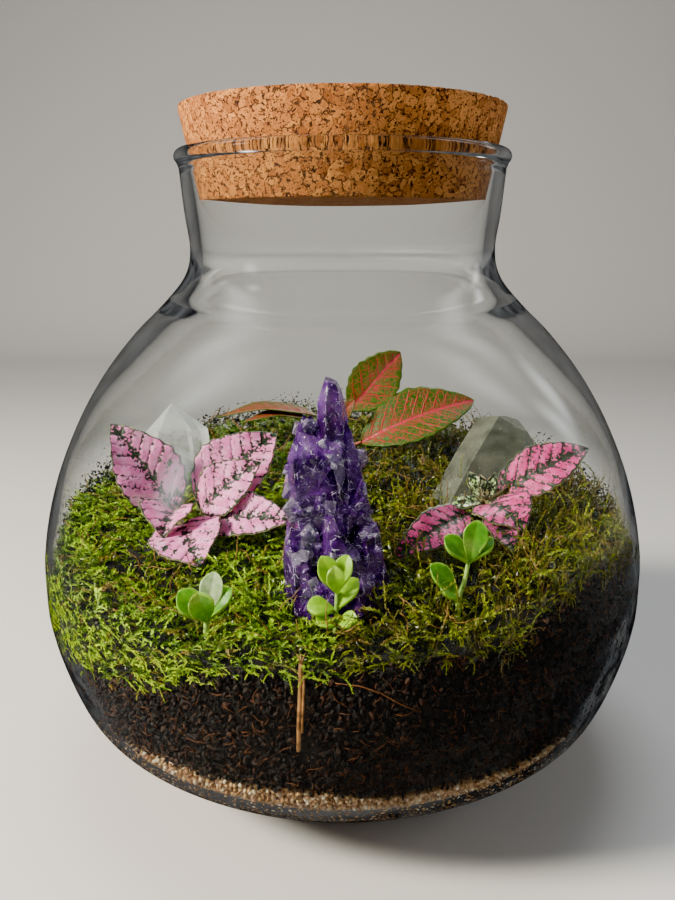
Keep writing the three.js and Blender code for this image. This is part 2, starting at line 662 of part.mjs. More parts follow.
const terrarium = new THREE.Group();
terrarium.add(
  piece('jar', jar(), material(0xdfe8ea, 0.03, { transparent: true, opacity: 0.3 })),
  piece('cork_stopper', corkStopper(), material(0xb98552, 0.85)),
  piece('sand_layer', sandLayer(), material(0xcfb78e, 0.9)),
  piece('soil_bed', soil, material(0x2b1c14, 0.95)),
  piece('amethyst_tower', stones[0], material(0x4b2a86, 0.15)),
  piece('quartz_clear', stones[1], material(0xe2e6e4, 0.1)),
  piece('quartz_smoky', stones[2], material(0x8f9686, 0.15)),
  piece('polka_dot_left', plants[0], material(0xe58bb4, 0.5)),
  piece('polka_dot_right', plants[1], material(0xd85a96, 0.5)),
  piece('nerve_plant', plants[2], material(0xb8552c, 0.5)),
  piece('sprout_left', plants[3], material(0x63b52a, 0.35)),
  piece('sprout_middle', plants[4], material(0x9fd83c, 0.35)),
  piece('sprout_right', plants[5], material(0x4ea626, 0.35)),
  piece('dry_twig', dryTwig(1), material(0x8a5a30, 0.8)),
);
for (const name of Object.keys(CUSHIONS)) {
  terrarium.add(piece(name, cushion(name), material(0x7f9d24, 0.8)));
}

export default terrarium;
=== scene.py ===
"""A glass plant terrarium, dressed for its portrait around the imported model.

Lengths are millimetres in the model's own frame: +Z up, the front towards -Y. Each piece is made in
millimetres and brought to metres when it is finished.
"""
import math
import random

import bmesh
import bpy
from mathutils import Euler, Matrix, Vector, noise


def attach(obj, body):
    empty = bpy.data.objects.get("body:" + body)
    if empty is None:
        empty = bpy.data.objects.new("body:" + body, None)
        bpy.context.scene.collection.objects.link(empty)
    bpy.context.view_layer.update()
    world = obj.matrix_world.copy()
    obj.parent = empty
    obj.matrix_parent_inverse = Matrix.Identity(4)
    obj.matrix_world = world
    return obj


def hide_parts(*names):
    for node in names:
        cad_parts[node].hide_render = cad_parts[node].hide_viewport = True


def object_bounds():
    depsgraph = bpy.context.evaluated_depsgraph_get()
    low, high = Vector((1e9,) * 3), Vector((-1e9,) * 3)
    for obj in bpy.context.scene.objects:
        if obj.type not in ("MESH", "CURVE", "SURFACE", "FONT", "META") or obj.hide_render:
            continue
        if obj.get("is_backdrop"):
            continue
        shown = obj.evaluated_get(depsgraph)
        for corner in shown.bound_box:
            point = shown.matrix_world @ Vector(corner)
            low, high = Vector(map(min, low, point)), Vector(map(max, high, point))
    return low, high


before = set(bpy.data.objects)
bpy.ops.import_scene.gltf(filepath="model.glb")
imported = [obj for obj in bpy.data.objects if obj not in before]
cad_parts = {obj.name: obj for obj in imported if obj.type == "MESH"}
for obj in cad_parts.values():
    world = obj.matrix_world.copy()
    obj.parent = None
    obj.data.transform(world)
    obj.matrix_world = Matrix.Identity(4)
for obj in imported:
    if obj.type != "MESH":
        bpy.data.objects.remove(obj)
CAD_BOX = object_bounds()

MM = 0.001
dice = random.Random(20261)

# ---- driving dimensions, as in the model ----
JAR_OUTSIDE = [
    (44, 0), (52, 3), (64.7, 10), (78.1, 18), (89.2, 28.5), (95.8, 44), (99.8, 62), (99.7, 80),
    (95.5, 100), (88, 119), (78.8, 135), (68.1, 148.5), (58.5, 158), (51.4, 166.5), (49.2, 175),
    (50.6, 187), (51.8, 200),
]
JAR_INSIDE = [
    (35, 4.5), (49.5, 6), (63.1, 12.7), (76.2, 20.5), (86.6, 30.4), (92.8, 45), (97, 62), (97.1, 80),
    (92.8, 99.5), (85, 117.5), (75.6, 132.5), (64.8, 145), (55, 154), (47.9, 162), (45.6, 171),
    (46.4, 185), (48.4, 200),
]
# The smooth curve through the outline may not bulge past the model's own box.
WIDEST = 99.95
CURVE_STEPS = 5
FLOOR_THICKNESS = 4.2
BEAD_RADIUS = 51.1
BEAD_HEIGHT = 203.4
BEAD_HALF = 2.2
CORK_BOTTOM = 190
CORK_TOP = 218.4
CORK_BOTTOM_RADIUS = 45.6
CORK_TOP_RADIUS = 51.6
CORK_GRANULE = 2.5
SAND_LEVEL = 36
SOIL_MIDDLE = 82
MOSS_MIDDLE = 94.5
MOSS_OVER_SOIL = 5
# The mat is heaped up at the right front: how high, at which azimuth and over how many degrees.
HEAP_HEIGHT, HEAP_AZIMUTH, HEAP_SPREAD = 10, 50, 22
# Height of the soil against the glass at each azimuth: 0 is the front, 90 the right.
SOIL_EDGE = [
    (-180, 92), (-140, 80), (-105, 66), (-80, 58), (-50, 57), (-30, 63), (-15, 72), (0, 74),
    (14, 76), (26, 73), (34, 82), (46, 87), (62, 84), (90, 78), (135, 86), (180, 92),
]
RIM_RADIUS = 97
# How much thinner than the model's the wall is drawn, by height: on its inside only, and most of all
# above the planting, where the real glass hardly shows.
DRAWN_THINNER = [(5, 0), (13, 0.3), (90, 0.3), (112, 0.9), (125, 0.9), (150, 0.2), (160, 0)]
# The ring that the shaping tool leaves on the inside at the foot of the neck.
RING_HEIGHT, RING_DEPTH, RING_WIDTH = 157, 0.55, 2.4
# Moist grains, crumbs and shoots cling to the glass with no air between: they reach this far into it.
PRESSED = 0.3


# ---- small tools ----
def colour(code):
    """A colour written as sRGB hex, as the linear colour that a shader takes."""
    channels = [int(code[i:i + 2], 16) / 255 for i in (1, 3, 5)]
    linear = [c / 12.92 if c <= 0.04045 else ((c + 0.055) / 1.055) ** 2.4 for c in channels]
    return (*linear, 1)


def mix(low, high, share):
    """What lies a share of the way from low to high."""
    return low + (high - low) * share


def eased(pairs, place):
    """A value on a list of (place, value) pairs, eased between them."""
    for (p0, v0), (p1, v1) in zip(pairs, pairs[1:]):
        if place <= p1:
            share = min(1, max(0, (place - p0) / (p1 - p0)))
            return mix(v0, v1, share * share * (3 - 2 * share))
    return pairs[-1][1]


def smoothed(points, steps):
    """Points on a smooth curve through the given ones."""
    points = [Vector(p) for p in points]
    ends = [points[0], *points, points[-1]]
    curve = []
    for a, b, c, d in zip(ends, ends[1:], ends[2:], ends[3:]):
        for step in range(steps):
            t = step / steps
            curve.append(0.5 * (2 * b + (c - a) * t + (2 * a - 5 * b + 4 * c - d) * t * t
                                + (3 * b - a - 3 * c + d) * t ** 3))
    return [*curve, points[-1]]


def rough(point, size, seed=0):
    """Smooth noise from -1 to 1 with lumps of about the given size."""
    return noise.noise(Vector(point) / size + Vector((seed, 0, 0)))


def drawn_inside():
    """The inside of the glass as it is drawn: a little thinner than the model's, and with its ring."""
    curve = smoothed(JAR_INSIDE, CURVE_STEPS)
    drawn = []
    for before, point, after in zip([curve[0], *curve], curve, [*curve[1:], curve[-1]]):
        run = (after - before).normalized()
        thinner = eased(DRAWN_THINNER, point.y)
        ring = RING_DEPTH * math.exp(-((point.y - RING_HEIGHT) / RING_WIDTH) ** 2)
        drawn.append(point + Vector((run.y, -run.x)) * (thinner - ring))
    return drawn


INSIDE_WALL = drawn_inside()


def wall_radius(z):
    """Inside radius of the jar at a height."""
    if z <= INSIDE_WALL[0].y:
        return INSIDE_WALL[0].x
    for low, high in zip(INSIDE_WALL, INSIDE_WALL[1:]):
        if z <= high.y:
            return mix(low.x, high.x, (z - low.y) / (high.y - low.y))
    return INSIDE_WALL[-1].x


def polar(radius, turn, z):
    """A point at a turn from the front, with the right at a quarter turn."""
    return Vector((radius * math.sin(turn), -radius * math.cos(turn), z))


def turn_of(x, y):
    """The turn from the front at which a place lies."""
    return math.atan2(x, -y)


def sand_top(x, y):
    """Height of the sand: level, with one slow and one quick wave."""
    return SAND_LEVEL + 1.5 * math.sin(x / 17 + 0.6) * math.cos(y / 23) + 0.8 * math.sin(x / 7 + y / 9)


def soil_top(x, y):
    """Height of the soil: even in the middle, and as the photo shows it along the glass."""
    out = min(1, math.hypot(x, y) / RIM_RADIUS)
    return mix(SOIL_MIDDLE, eased(SOIL_EDGE, math.degrees(turn_of(x, y))), out ** 3)


def moss_top(x, y):
    """Height of the mat: it climbs to the back, falls to the sides, and never thins out on the soil."""
    out = math.hypot(x, y) / RIM_RADIUS
    rise = HEAP_HEIGHT * math.exp(-(((math.degrees(turn_of(x, y)) - HEAP_AZIMUTH) / HEAP_SPREAD) ** 2))
    bumps = 1.7 * math.sin(x / 6.5 + 1) * math.cos(y / 7.5) + 1.1 * math.sin(x / 3.7 - y / 4.9)
    shape = MOSS_MIDDLE + 0.2 * y - 6 * (x / RIM_RADIUS) ** 2 + rise * out ** 2 + bumps
    return max(shape, soil_top(x, y) + MOSS_OVER_SOIL + 0.4 * bumps)


def edge_height(height_at, turn):
    """Height at which a surface meets the inside of the glass, closed in on from a first guess."""
    z = 80
    for _ in range(4):
        x, y, _ = polar(wall_radius(z), turn, 0)
        z = height_at(x, y)
    return z


def made_of(material, name, bm, smooth=True):
    """Turns a bmesh in metres into an object of one material."""
    for face in bm.faces:
        face.smooth = smooth
    mesh = bpy.data.meshes.new(name)
    bm.to_mesh(mesh)
    bm.free()
    mesh.materials.append(material)
    made = bpy.data.objects.new(name, mesh)
    bpy.context.collection.objects.link(made)
    return made


def finished(name, bm, material, replaces=(), smooth=True):
    """Turns a bmesh in millimetres into a piece of the terrarium."""
    bmesh.ops.scale(bm, vec=(MM, MM, MM), verts=bm.verts)
    piece = made_of(material, name, bm, smooth)
    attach(piece, "root")
    if replaces:
        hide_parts(*replaces)
    return piece


class Seed:
    """A small shape that is copied many times into a piece, with numbers that its material reads."""

    def __init__(self, bm, numbers):
        self.mesh = bpy.data.meshes.new("seed")
        bm.to_mesh(self.mesh)
        bm.free()
        for number in numbers:
            if number not in self.mesh.attributes:
                self.mesh.attributes.new(number, "FLOAT", "POINT")
        self.places = [value for vert in self.mesh.vertices for value in vert.co]

    def sow(self, bm, matrix, **numbers):
        """Adds a copy of the shape to a mesh. It starts from its first form each time."""
        self.mesh.vertices.foreach_set("co", self.places)
        self.mesh.transform(matrix)
        for number, value in numbers.items():
            values = [value] * len(self.mesh.vertices)
            self.mesh.attributes[number].data.foreach_set("value", values)
        bm.from_mesh(self.mesh)


def any_turn():
    """A matrix that turns a shape any way at random."""
    return Euler([dice.uniform(0, math.tau) for _ in range(3)]).to_matrix().to_4x4()


def anywhere():
    """A vector with each of its coordinates at random from -1 to 1."""
    return Vector([dice.uniform(-1, 1) for _ in range(3)])


def inside(point, clearance):
    """The point, or the nearest one to it that is clear of the glass."""
    reach = math.hypot(point.x, point.y)
    room = wall_radius(point.z) - clearance
    if reach <= room:
        return point
    share = room / reach
    return Vector((point.x * share, point.y * share, point.z))


def on_glass(point, clearance):
    """The point, pressed out against the glass."""
    return polar(wall_radius(point.z) - clearance, turn_of(point.x, point.y), point.z)


def keep_inside(bm, clearance):
    """Draws every point that would pass the glass back inside it."""
    for vert in bm.verts:
        vert.co = inside(vert.co, clearance)


# ---- materials ----
def add(tree, kind, inputs=None, stops=None, **settings):
    """Adds a node with its settings and inputs. An input is a value or another node or output.

    Sockets that share a name go by number: a MapRange takes its value, then the range it comes from and
    the range it goes to, and a MixRGB its share, then what it mixes from and to.
    """
    made = tree.nodes.new("ShaderNode" + kind)
    for name, value in settings.items():
        setattr(made, name, value)
    for name, value in (inputs or {}).items():
        if isinstance(value, bpy.types.Node):
            value = value.outputs[0]
        if isinstance(value, bpy.types.NodeSocket):
            tree.links.new(value, made.inputs[name])
        else:
            made.inputs[name].default_value = value
    for number, (place, code) in enumerate(stops or ()):
        ramp = made.color_ramp.elements
        stop = ramp[number] if number < 2 else ramp.new(place)
        stop.position = place
        stop.color = colour(code)
    return made


def surface(name, values):
    """A new material with one Principled shader, and the values of its sockets."""
    material = bpy.data.materials.new(name)
    material.use_nodes = True
    tree = material.node_tree
    shader = tree.nodes["Principled BSDF"]
    for socket, value in values.items():
        shader.inputs[socket].default_value = value
    return material, tree, shader


def per_mm(size):
    """Scale of a pattern whose features are this many millimetres, on coordinates in metres."""
    return 1 / (size * MM)


def coat(tree, shader, base, bump=None):
    """Gives a shader its pattern of colour, and its relief."""
    tree.links.new(base.outputs[0], shader.inputs["Base Color"])
    if bump:
        tree.links.new(bump.outputs[0], shader.inputs["Normal"])


def let_lamps_through(tree, shader, tint):
    """Lets the lamps' light pass a clear body, tinted, where the bent rays would miss the lamps."""
    path = add(tree, "LightPath")
    clear = add(tree, "BsdfTransparent", {"Color": colour(tint)})
    both = add(tree, "MixShader", {0: path.outputs["Is Shadow Ray"], 1: shader, 2: clear})
    tree.links.new(both.outputs[0], tree.nodes["Material Output"].inputs["Surface"])


def clear_blown_glass():
    # Soda-lime glass, blown and fire polished: colourless face on, grey only through its thick edges.
    # What has gone round inside the thick parts comes out as a painted glow, smoke grey with lighter streaks.
    material, tree, shader = surface("clear_blown_glass", {
        "Base Color": colour("#FDFFFE"), "Roughness": 0.0, "IOR": 1.47, "Transmission Weight": 1,
    })
    place = add(tree, "TexCoord").outputs["Object"]
    streaks = add(tree, "TexNoise", {"Vector": place, "Scale": per_mm(7), "Detail": 2})
    grey = add(tree, "ValToRGB", {0: streaks}, stops=[(0.36, "#55585B"), (0.68, "#D9DCDE")])
    # A painted glow, in place of the light that these paths would carry.
    painted_glow = add(tree, "Emission", {"Color": grey, "Strength": 0.4})
    path = add(tree, "LightPath")
    turns = add(tree, "Math", {0: path.outputs["Glossy Depth"], 1: 2.5}, operation="GREATER_THAN")
    body = add(tree, "MixShader", {0: turns, 1: shader, 2: painted_glow})
    let_lamps_through(tree, body, "#F4F8F7")
    return material


def pressed_cork():
    # Granules of bark pressed with a binder and sanded flush: warm tan grains, hardly apart in colour,
    # with short cracks round them and small pits where bits fell out, both painted dark as shade falls in
    # them.
    material, tree, shader = surface("pressed_cork", {"Roughness": 0.8, "Specular IOR Level": 0.25})
    place = add(tree, "TexCoord").outputs["Object"]
    wander = add(tree, "TexNoise", {"Vector": place, "Scale": per_mm(1.5), "Detail": 3})
    shift = add(tree, "VectorMath", {0: wander.outputs["Color"], 1: (2.4 * MM,) * 3}, operation="MULTIPLY")
    warped = add(tree, "VectorMath", {0: place, 1: shift}, operation="ADD")
    cells = {"Vector": warped, "Scale": per_mm(CORK_GRANULE)}
    grains = add(tree, "TexVoronoi", cells)
    tone = add(tree, "SeparateColor", {0: grains.outputs["Color"]})
    grain_colour = add(tree, "ValToRGB", {0: tone}, stops=[
        (0, "#8F5220"), (0.2, "#A5642B"), (0.6, "#B16F34"), (1, "#C27F3C"),
    ])
    seams = add(tree, "TexVoronoi", cells, feature="DISTANCE_TO_EDGE")
    gaps = add(tree, "TexNoise", {"Vector": place, "Scale": per_mm(1.7), "Detail": 2})
    reach = add(tree, "MapRange", {0: gaps, 1: 0.46, 2: 0.62, 3: 0.004, 4: 0.1})
    seam_shade = add(tree, "MapRange", {0: seams, 1: 0.0, 2: reach, 3: 0.0, 4: 1.0})
    pores = add(tree, "TexNoise", {"Vector": place, "Scale": per_mm(0.9), "Detail": 3, "Roughness": 0.6})
    pore_shade = add(tree, "MapRange", {0: pores, 1: 0.36, 2: 0.42, 3: 0.0, 4: 1.0})
    flecks = add(tree, "TexNoise", {"Vector": place, "Scale": per_mm(0.45), "Detail": 2})
    mottled = add(tree, "MixRGB", {0: 0.45, 1: grain_colour, 2: flecks.outputs["Fac"]}, blend_type="OVERLAY")
    # Cracks and pits are painted dark: painted shade in the recesses.
    painted_shade_in_cracks = add(tree, "MixRGB", {0: seam_shade, 1: colour("#4E2A12"), 2: mottled})
    painted_shade_in_pits = add(tree, "MixRGB", {0: pore_shade, 1: colour("#2E180A"), 2: painted_shade_in_cracks})
    flat = add(tree, "Math", {0: seam_shade, 1: pore_shade}, operation="MULTIPLY")
    rubbed = add(tree, "Math", {0: flecks, 1: 0.35, 2: flat}, operation="MULTIPLY_ADD")
    uneven = add(tree, "Math", {0: tone, 1: 0.3, 2: rubbed}, operation="MULTIPLY_ADD")
    bump = add(tree, "Bump", {"Strength": 1.0, "Distance": 0.6 * MM, "Height": uneven})
    coat(tree, shader, painted_shade_in_pits, bump)
    return material


def quartz_sand():
    # Washed quartz grit: rounded grains, pale, honey and peach, a little glossy.
    material, tree, shader = surface("quartz_sand", {"Roughness": 0.3, "IOR": 1.5})
    shade = add(tree, "Attribute", attribute_name="shade")
    grain = add(tree, "ValToRGB", {0: shade.outputs["Fac"]}, stops=[
        (0, "#6E4A28"), (0.12, "#966638"), (0.35, "#B48A58"), (0.55, "#C8A674"), (0.72, "#BA8454"),
        (0.86, "#D8C09A"), (1, "#EDE0C8"),
    ])
    place = add(tree, "TexCoord").outputs["Object"]
    clouds = add(tree, "TexNoise", {"Vector": place, "Scale": per_mm(0.6), "Detail": 3})
    mottled = add(tree, "MixRGB", {0: 0.3, 1: grain, 2: clouds.outputs["Color"]}, blend_type="SOFT_LIGHT")
    bump = add(tree, "Bump", {"Strength": 0.4, "Distance": 0.2 * MM, "Height": clouds})
    coat(tree, shader, mottled, bump)
    return material


def damp_peat():
    # Sieved peat and bark compost, damp: near-black crumbs with a few rust-brown ones and a dull gleam.
    material, tree, shader = surface("damp_peat", {"Roughness": 0.62, "Specular IOR Level": 0.35})
    shade = add(tree, "Attribute", attribute_name="shade")
    place = add(tree, "TexCoord").outputs["Object"]
    clods = add(tree, "TexNoise", {"Vector": place, "Scale": per_mm(1.1), "Detail": 5, "Roughness": 0.7})
    both = add(tree, "Math", {0: shade.outputs["Fac"], 1: clods}, operation="MULTIPLY")
    crumb = add(tree, "ValToRGB", {0: both}, stops=[
        (0, "#080504"), (0.22, "#140C08"), (0.45, "#2A190F"), (0.62, "#4A2C1A"), (1, "#7A4B2C"),
    ])
    bump = add(tree, "Bump", {"Strength": 0.9, "Distance": 0.6 * MM, "Height": clods})
    coat(tree, shader, crumb, bump)
    return material


def plant_fibre(name, dark, light):
    # Dead roots and straw: dry, thin and streaky.
    material, tree, shader = surface(name, {"Roughness": 0.7, "Specular IOR Level": 0.3})
    place = add(tree, "TexCoord").outputs["Object"]
    streaks = add(tree, "TexNoise", {"Vector": place, "Scale": per_mm(2.5), "Detail": 4})
    fibre = add(tree, "ValToRGB", {0: streaks}, stops=[(0.3, dark), (0.7, light)])
    coat(tree, shader, fibre)
    return material


def living_moss(name, root, middle, tip, pale):
    # Feather moss, moist: each thread runs from brown at its foot to a fresh bright tip, and glistens. Shoots
    # set deeper in the mat are painted darker, and the near-black foot is partly painted shade.
    material, tree, shader = surface(name, {"Roughness": 0.3, "Specular IOR Level": 0.5})
    along = add(tree, "Attribute", attribute_name="along")
    shade = add(tree, "Attribute", attribute_name="shade")
    dry = add(tree, "Attribute", attribute_name="dry")
    vigour = add(tree, "Attribute", attribute_name="vigour")
    # Painted shade: a shoot set deeper has less depth light, so more of its thread takes the foot's dark
    # colour.
    grown = add(tree, "Math", {0: along.outputs["Fac"], 1: vigour.outputs["Fac"]}, operation="MULTIPLY")
    growth_and_depth_shade = add(tree, "ValToRGB", {0: grown}, stops=[(0.12, root), (0.5, middle), (0.95, tip)])
    lit = add(tree, "Math", {0: shade.outputs["Fac"], 1: grown}, operation="MULTIPLY")
    fresh = add(tree, "MixRGB", {0: lit, 1: growth_and_depth_shade, 2: colour(pale)})
    brown = add(tree, "ValToRGB", {0: along.outputs["Fac"]}, stops=[
        (0, "#2A1B0E"), (0.5, "#5E4420"), (1, "#A08234"),
    ])
    mixed = add(tree, "MixRGB", {0: dry.outputs["Fac"], 1: fresh, 2: brown})
    coat(tree, shader, mixed)
    return material


def white_flaws_and_painted_glints(tree, place, warped, veil):
    """What is white in the amethyst: healed cracks, frost, small specks painted on as glints, and rubbed
    ridges that are partly a painted highlight.
    """
    cracks = add(tree, "TexVoronoi", {"Vector": warped, "Scale": per_mm(3)}, feature="DISTANCE_TO_EDGE")
    line = add(tree, "MapRange", {0: cracks, 1: 0.01, 2: 0.034, 3: 0.9, 4: 0.0})
    broken = add(tree, "MapRange", {0: veil, 1: 0.5, 2: 0.57, 3: 0.0, 4: 1.0})
    healed = add(tree, "Math", {0: line, 1: broken}, operation="MULTIPLY")
    frost = add(tree, "MapRange", {0: veil, 1: 0.64, 2: 0.74, 3: 0.0, 4: 0.6})
    speck_cells = add(tree, "TexVoronoi", {"Vector": place, "Scale": per_mm(2.8)})
    # Small white specks, painted on as glints for sparkle.
    bubbles_and_painted_glints = add(tree, "MapRange", {0: speck_cells, 1: 0.06, 2: 0.1, 3: 1.0, 4: 0.0})
    # Bevelled ridges are painted white where the veil breaks: rubbed frost, and partly a painted highlight.
    worn = add(tree, "Attribute", attribute_name="worn")
    rubbed = add(tree, "Math", {0: worn.outputs["Fac"], 1: broken}, operation="MULTIPLY")
    clouded = add(tree, "Math", {0: healed, 1: frost}, operation="MAXIMUM")
    speckled = add(tree, "Math", {0: clouded, 1: bubbles_and_painted_glints}, operation="MAXIMUM")
    return add(tree, "Math", {0: speckled, 1: rubbed}, operation="MAXIMUM")


def flat_steps(tree, warped, size):
    """Height of small flat steps: inside each cell it runs along a slope of its own."""
    cells = add(tree, "TexVoronoi", {"Vector": warped, "Scale": per_mm(size)})
    scaled = add(tree, "VectorMath", {0: warped, 1: (per_mm(size),) * 3}, operation="MULTIPLY")
    from_middle = add(tree, "VectorMath", {0: scaled, 1: cells.outputs["Position"]}, operation="SUBTRACT")
    tilt = add(tree, "VectorMath", {0: cells.outputs["Color"], 1: (0.5,) * 3}, operation="SUBTRACT")
    steps = add(tree, "VectorMath", {0: from_middle, 1: tilt}, operation="DOT_PRODUCT")
    return steps.outputs["Value"]


def grown_amethyst():
    # Amethyst broken from its bed: near-black violet in the depth, lilac and smoke-clear towards its
    # thin edges, covered in small glassy steps and crossed by white healed cracks.
    material, tree, shader = surface("grown_amethyst", {"Roughness": 0.035, "IOR": 1.54})
    place = add(tree, "TexCoord").outputs["Object"]
    zones = add(tree, "TexNoise", {"Vector": place, "Scale": per_mm(8), "Detail": 3, "Distortion": 0.6})
    depth = add(tree, "ValToRGB", {0: zones}, stops=[
        (0.34, "#280A3C"), (0.44, "#5C2080"), (0.54, "#8A46AE"), (0.64, "#B080CC"), (0.74, "#D2B4E2"),
    ])
    pale = add(tree, "Attribute", attribute_name="pale")
    smoke = add(tree, "ValToRGB", {0: zones}, stops=[(0.35, "#AC9CBC"), (0.7, "#F3F0F6")])
    body = add(tree, "MixRGB", {0: pale.outputs["Fac"], 1: depth, 2: smoke})
    bent = add(tree, "TexNoise", {"Vector": place, "Scale": per_mm(4), "Detail": 2})
    shift = add(tree, "VectorMath", {0: bent.outputs["Color"], 1: (4 * MM,) * 3}, operation="MULTIPLY")
    warped = add(tree, "VectorMath", {0: place, 1: shift}, operation="ADD")
    veil = add(tree, "TexNoise", {"Vector": place, "Scale": per_mm(2.4), "Detail": 5, "Roughness": 0.7})
    white = white_flaws_and_painted_glints(tree, place, warped, veil)
    tinted = add(tree, "MixRGB", {0: white, 1: body, 2: colour("#F6F2F9")})
    see_through = add(tree, "MapRange", {0: white, 1: 0.0, 2: 1.0, 3: 0.78, 4: 0.15})
    tree.links.new(see_through.outputs[0], shader.inputs["Transmission Weight"])
    height = add(tree, "Math", {0: veil, 1: 0.15, 2: flat_steps(tree, warped, 4.2)}, operation="MULTIPLY_ADD")
    bump = add(tree, "Bump", {"Strength": 0.8, "Distance": 3 * MM, "Height": height})
    coat(tree, shader, tinted, bump)
    let_lamps_through(tree, shader, "#8A64A6")
    return material


def cut_quartz(name, clear, cloudy, transmission, roughness):
    # Rock crystal cut and polished to a point: flat glossy faces over veils and small bubbles, with white in
    # places along its nicked ridges, partly a painted highlight.
    material, tree, shader = surface(name, {
        "Roughness": roughness, "IOR": 1.54, "Transmission Weight": transmission,
    })
    place = add(tree, "TexCoord").outputs["Object"]
    veils = add(tree, "TexNoise", {"Vector": place, "Scale": per_mm(14), "Detail": 5, "Distortion": 1.2})
    body = add(tree, "ValToRGB", {0: veils}, stops=[(0.35, clear), (0.68, cloudy)])
    speck_cells = add(tree, "TexVoronoi", {"Vector": place, "Scale": per_mm(2.4)})
    specks = add(tree, "MapRange", {0: speck_cells, 1: 0.08, 2: 0.13, 3: 1.0, 4: 0.0})
    where = add(tree, "MapRange", {0: veils, 1: 0.52, 2: 0.62, 3: 0.0, 4: 1.0})
    bubbles_and_painted_glints = add(tree, "Math", {0: specks, 1: where}, operation="MULTIPLY")
    # Ridges are painted white where nicked: partly rubbed, partly a painted highlight along the edges.
    worn = add(tree, "Attribute", attribute_name="worn")
    nicks_and_highlight_patches = add(tree, "TexNoise", {"Vector": place, "Scale": per_mm(1.6), "Detail": 4})
    left = add(tree, "MapRange", {0: nicks_and_highlight_patches, 1: 0.44, 2: 0.5, 3: 0.0, 4: 1.0})
    rubbed = add(tree, "Math", {0: worn.outputs["Fac"], 1: left}, operation="MULTIPLY")
    white = add(tree, "Math", {0: bubbles_and_painted_glints, 1: rubbed}, operation="MAXIMUM")
    speckled = add(tree, "MixRGB", {0: white, 1: body, 2: colour("#FFFFFF")})
    bump = add(tree, "Bump", {"Strength": 0.12, "Distance": 0.5 * MM, "Height": veils})
    coat(tree, shader, speckled, bump)
    let_lamps_through(tree, shader, cloudy)
    return material


# Side veins of a leaf: how far apart they leave the midrib, and how far back they lie at its margin.
VEIN_SPACING = 4.2
VEIN_SLANT = 0.85


def blade_map(tree):
    """A leaf's own map in millimetres, on which a scale of 0.5 gives features of 2 mm, and with it how
    far a point lies from the midrib, how far up the blade, and how far in from the margin."""
    mapped = add(tree, "UVMap", uv_map="blade")
    split = add(tree, "SeparateXYZ", {0: mapped})
    across = add(tree, "Math", {0: split.outputs[0]}, operation="ABSOLUTE")
    margin = add(tree, "Attribute", attribute_name="margin")
    return mapped, across, split.outputs[1], margin.outputs["Fac"]


def vein_distance(tree, mapped, across, along, spacing, slant):
    """How far a point of the blade lies from the nearest side vein."""
    wobble = add(tree, "TexNoise", {"Vector": mapped, "Scale": 0.35, "Detail": 1})
    back = add(tree, "Math", {0: across, 1: -slant}, operation="MULTIPLY")
    lifted = add(tree, "Math", {0: along, 1: back}, operation="ADD")
    swayed = add(tree, "Math", {0: wobble, 1: 1.6, 2: lifted}, operation="MULTIPLY_ADD")
    return add(tree, "Math", {0: swayed, 1: spacing / 2}, operation="PINGPONG")


def blotches(tree, fine, patch, *near):
    """Adds up what draws the blotches to a point: chance, and how near the veins and the margin are."""
    score = add(tree, "Math", {0: patch, 1: 0.45, 2: fine}, operation="MULTIPLY_ADD")
    for pull in near:
        score = add(tree, "Math", {0: score, 1: pull}, operation="ADD")
    return score


def spotted_leaf(name, pale, pink, hot, cover):
    # Polka-dot plant leaf: thin and soft, pink between dark green blotches that follow the veins.
    material, tree, shader = surface(name, {
        "Roughness": 0.5, "Specular IOR Level": 0.25, "Sheen Weight": 0.08, "Sheen Roughness": 0.5,
        "Subsurface Weight": 0.12, "Subsurface Scale": 2 * MM, "Subsurface Radius": (1, 0.4, 0.5),
    })
    mapped, across, along, margin = blade_map(tree)
    side = vein_distance(tree, mapped, across, along, VEIN_SPACING, VEIN_SLANT)
    fine = add(tree, "TexNoise", {
        "Vector": mapped, "Scale": 0.95, "Detail": 3, "Roughness": 0.65, "Distortion": 0.6,
    })
    patch = add(tree, "TexNoise", {"Vector": mapped, "Scale": 0.22, "Detail": 2})
    on_vein = add(tree, "MapRange", {0: side, 1: 0.0, 2: 1.0, 3: 0.16, 4: 0.0})
    on_rib = add(tree, "MapRange", {0: across, 1: 0.2, 2: 2.6, 3: 0.19, 4: 0.0})
    on_edge = add(tree, "MapRange", {0: margin, 1: 0.15, 2: 0.7, 3: 0.3, 4: 0.0})
    score = blotches(tree, fine, patch, on_vein, on_rib, on_edge)
    blotch = add(tree, "MapRange", {0: score, 1: cover, 2: cover + 0.035, 3: 0.0, 4: 1.0})
    tone = add(tree, "TexNoise", {"Vector": mapped, "Scale": 0.3, "Detail": 3})
    flesh = add(tree, "ValToRGB", {0: tone}, stops=[(0.34, pale), (0.5, pink), (0.66, hot)])
    thread = add(tree, "MapRange", {0: side, 1: 0.05, 2: 0.22, 3: 0.35, 4: 0.0})
    veined = add(tree, "MixRGB", {0: thread, 1: flesh, 2: colour("#F7D3E2")})
    greens = add(tree, "ValToRGB", {0: fine}, stops=[(0.4, "#101A10"), (0.7, "#2C3F28")])
    painted = add(tree, "MixRGB", {0: blotch, 1: veined, 2: greens})
    rim = add(tree, "MapRange", {0: margin, 1: 0.0, 2: 0.12, 3: 0.75, 4: 0.0})
    edged = add(tree, "MixRGB", {0: rim, 1: painted, 2: colour("#8E8B5A")})
    quilt = add(tree, "MapRange", {0: side, 1: 0.0, 2: 0.8, 3: 0.0, 4: 1.0})
    height = add(tree, "Math", {0: fine, 1: 0.25, 2: quilt}, operation="MULTIPLY_ADD")
    bump = add(tree, "Bump", {"Strength": 0.5, "Distance": 0.35 * MM, "Height": height})
    coat(tree, shader, edged, bump)
    return material


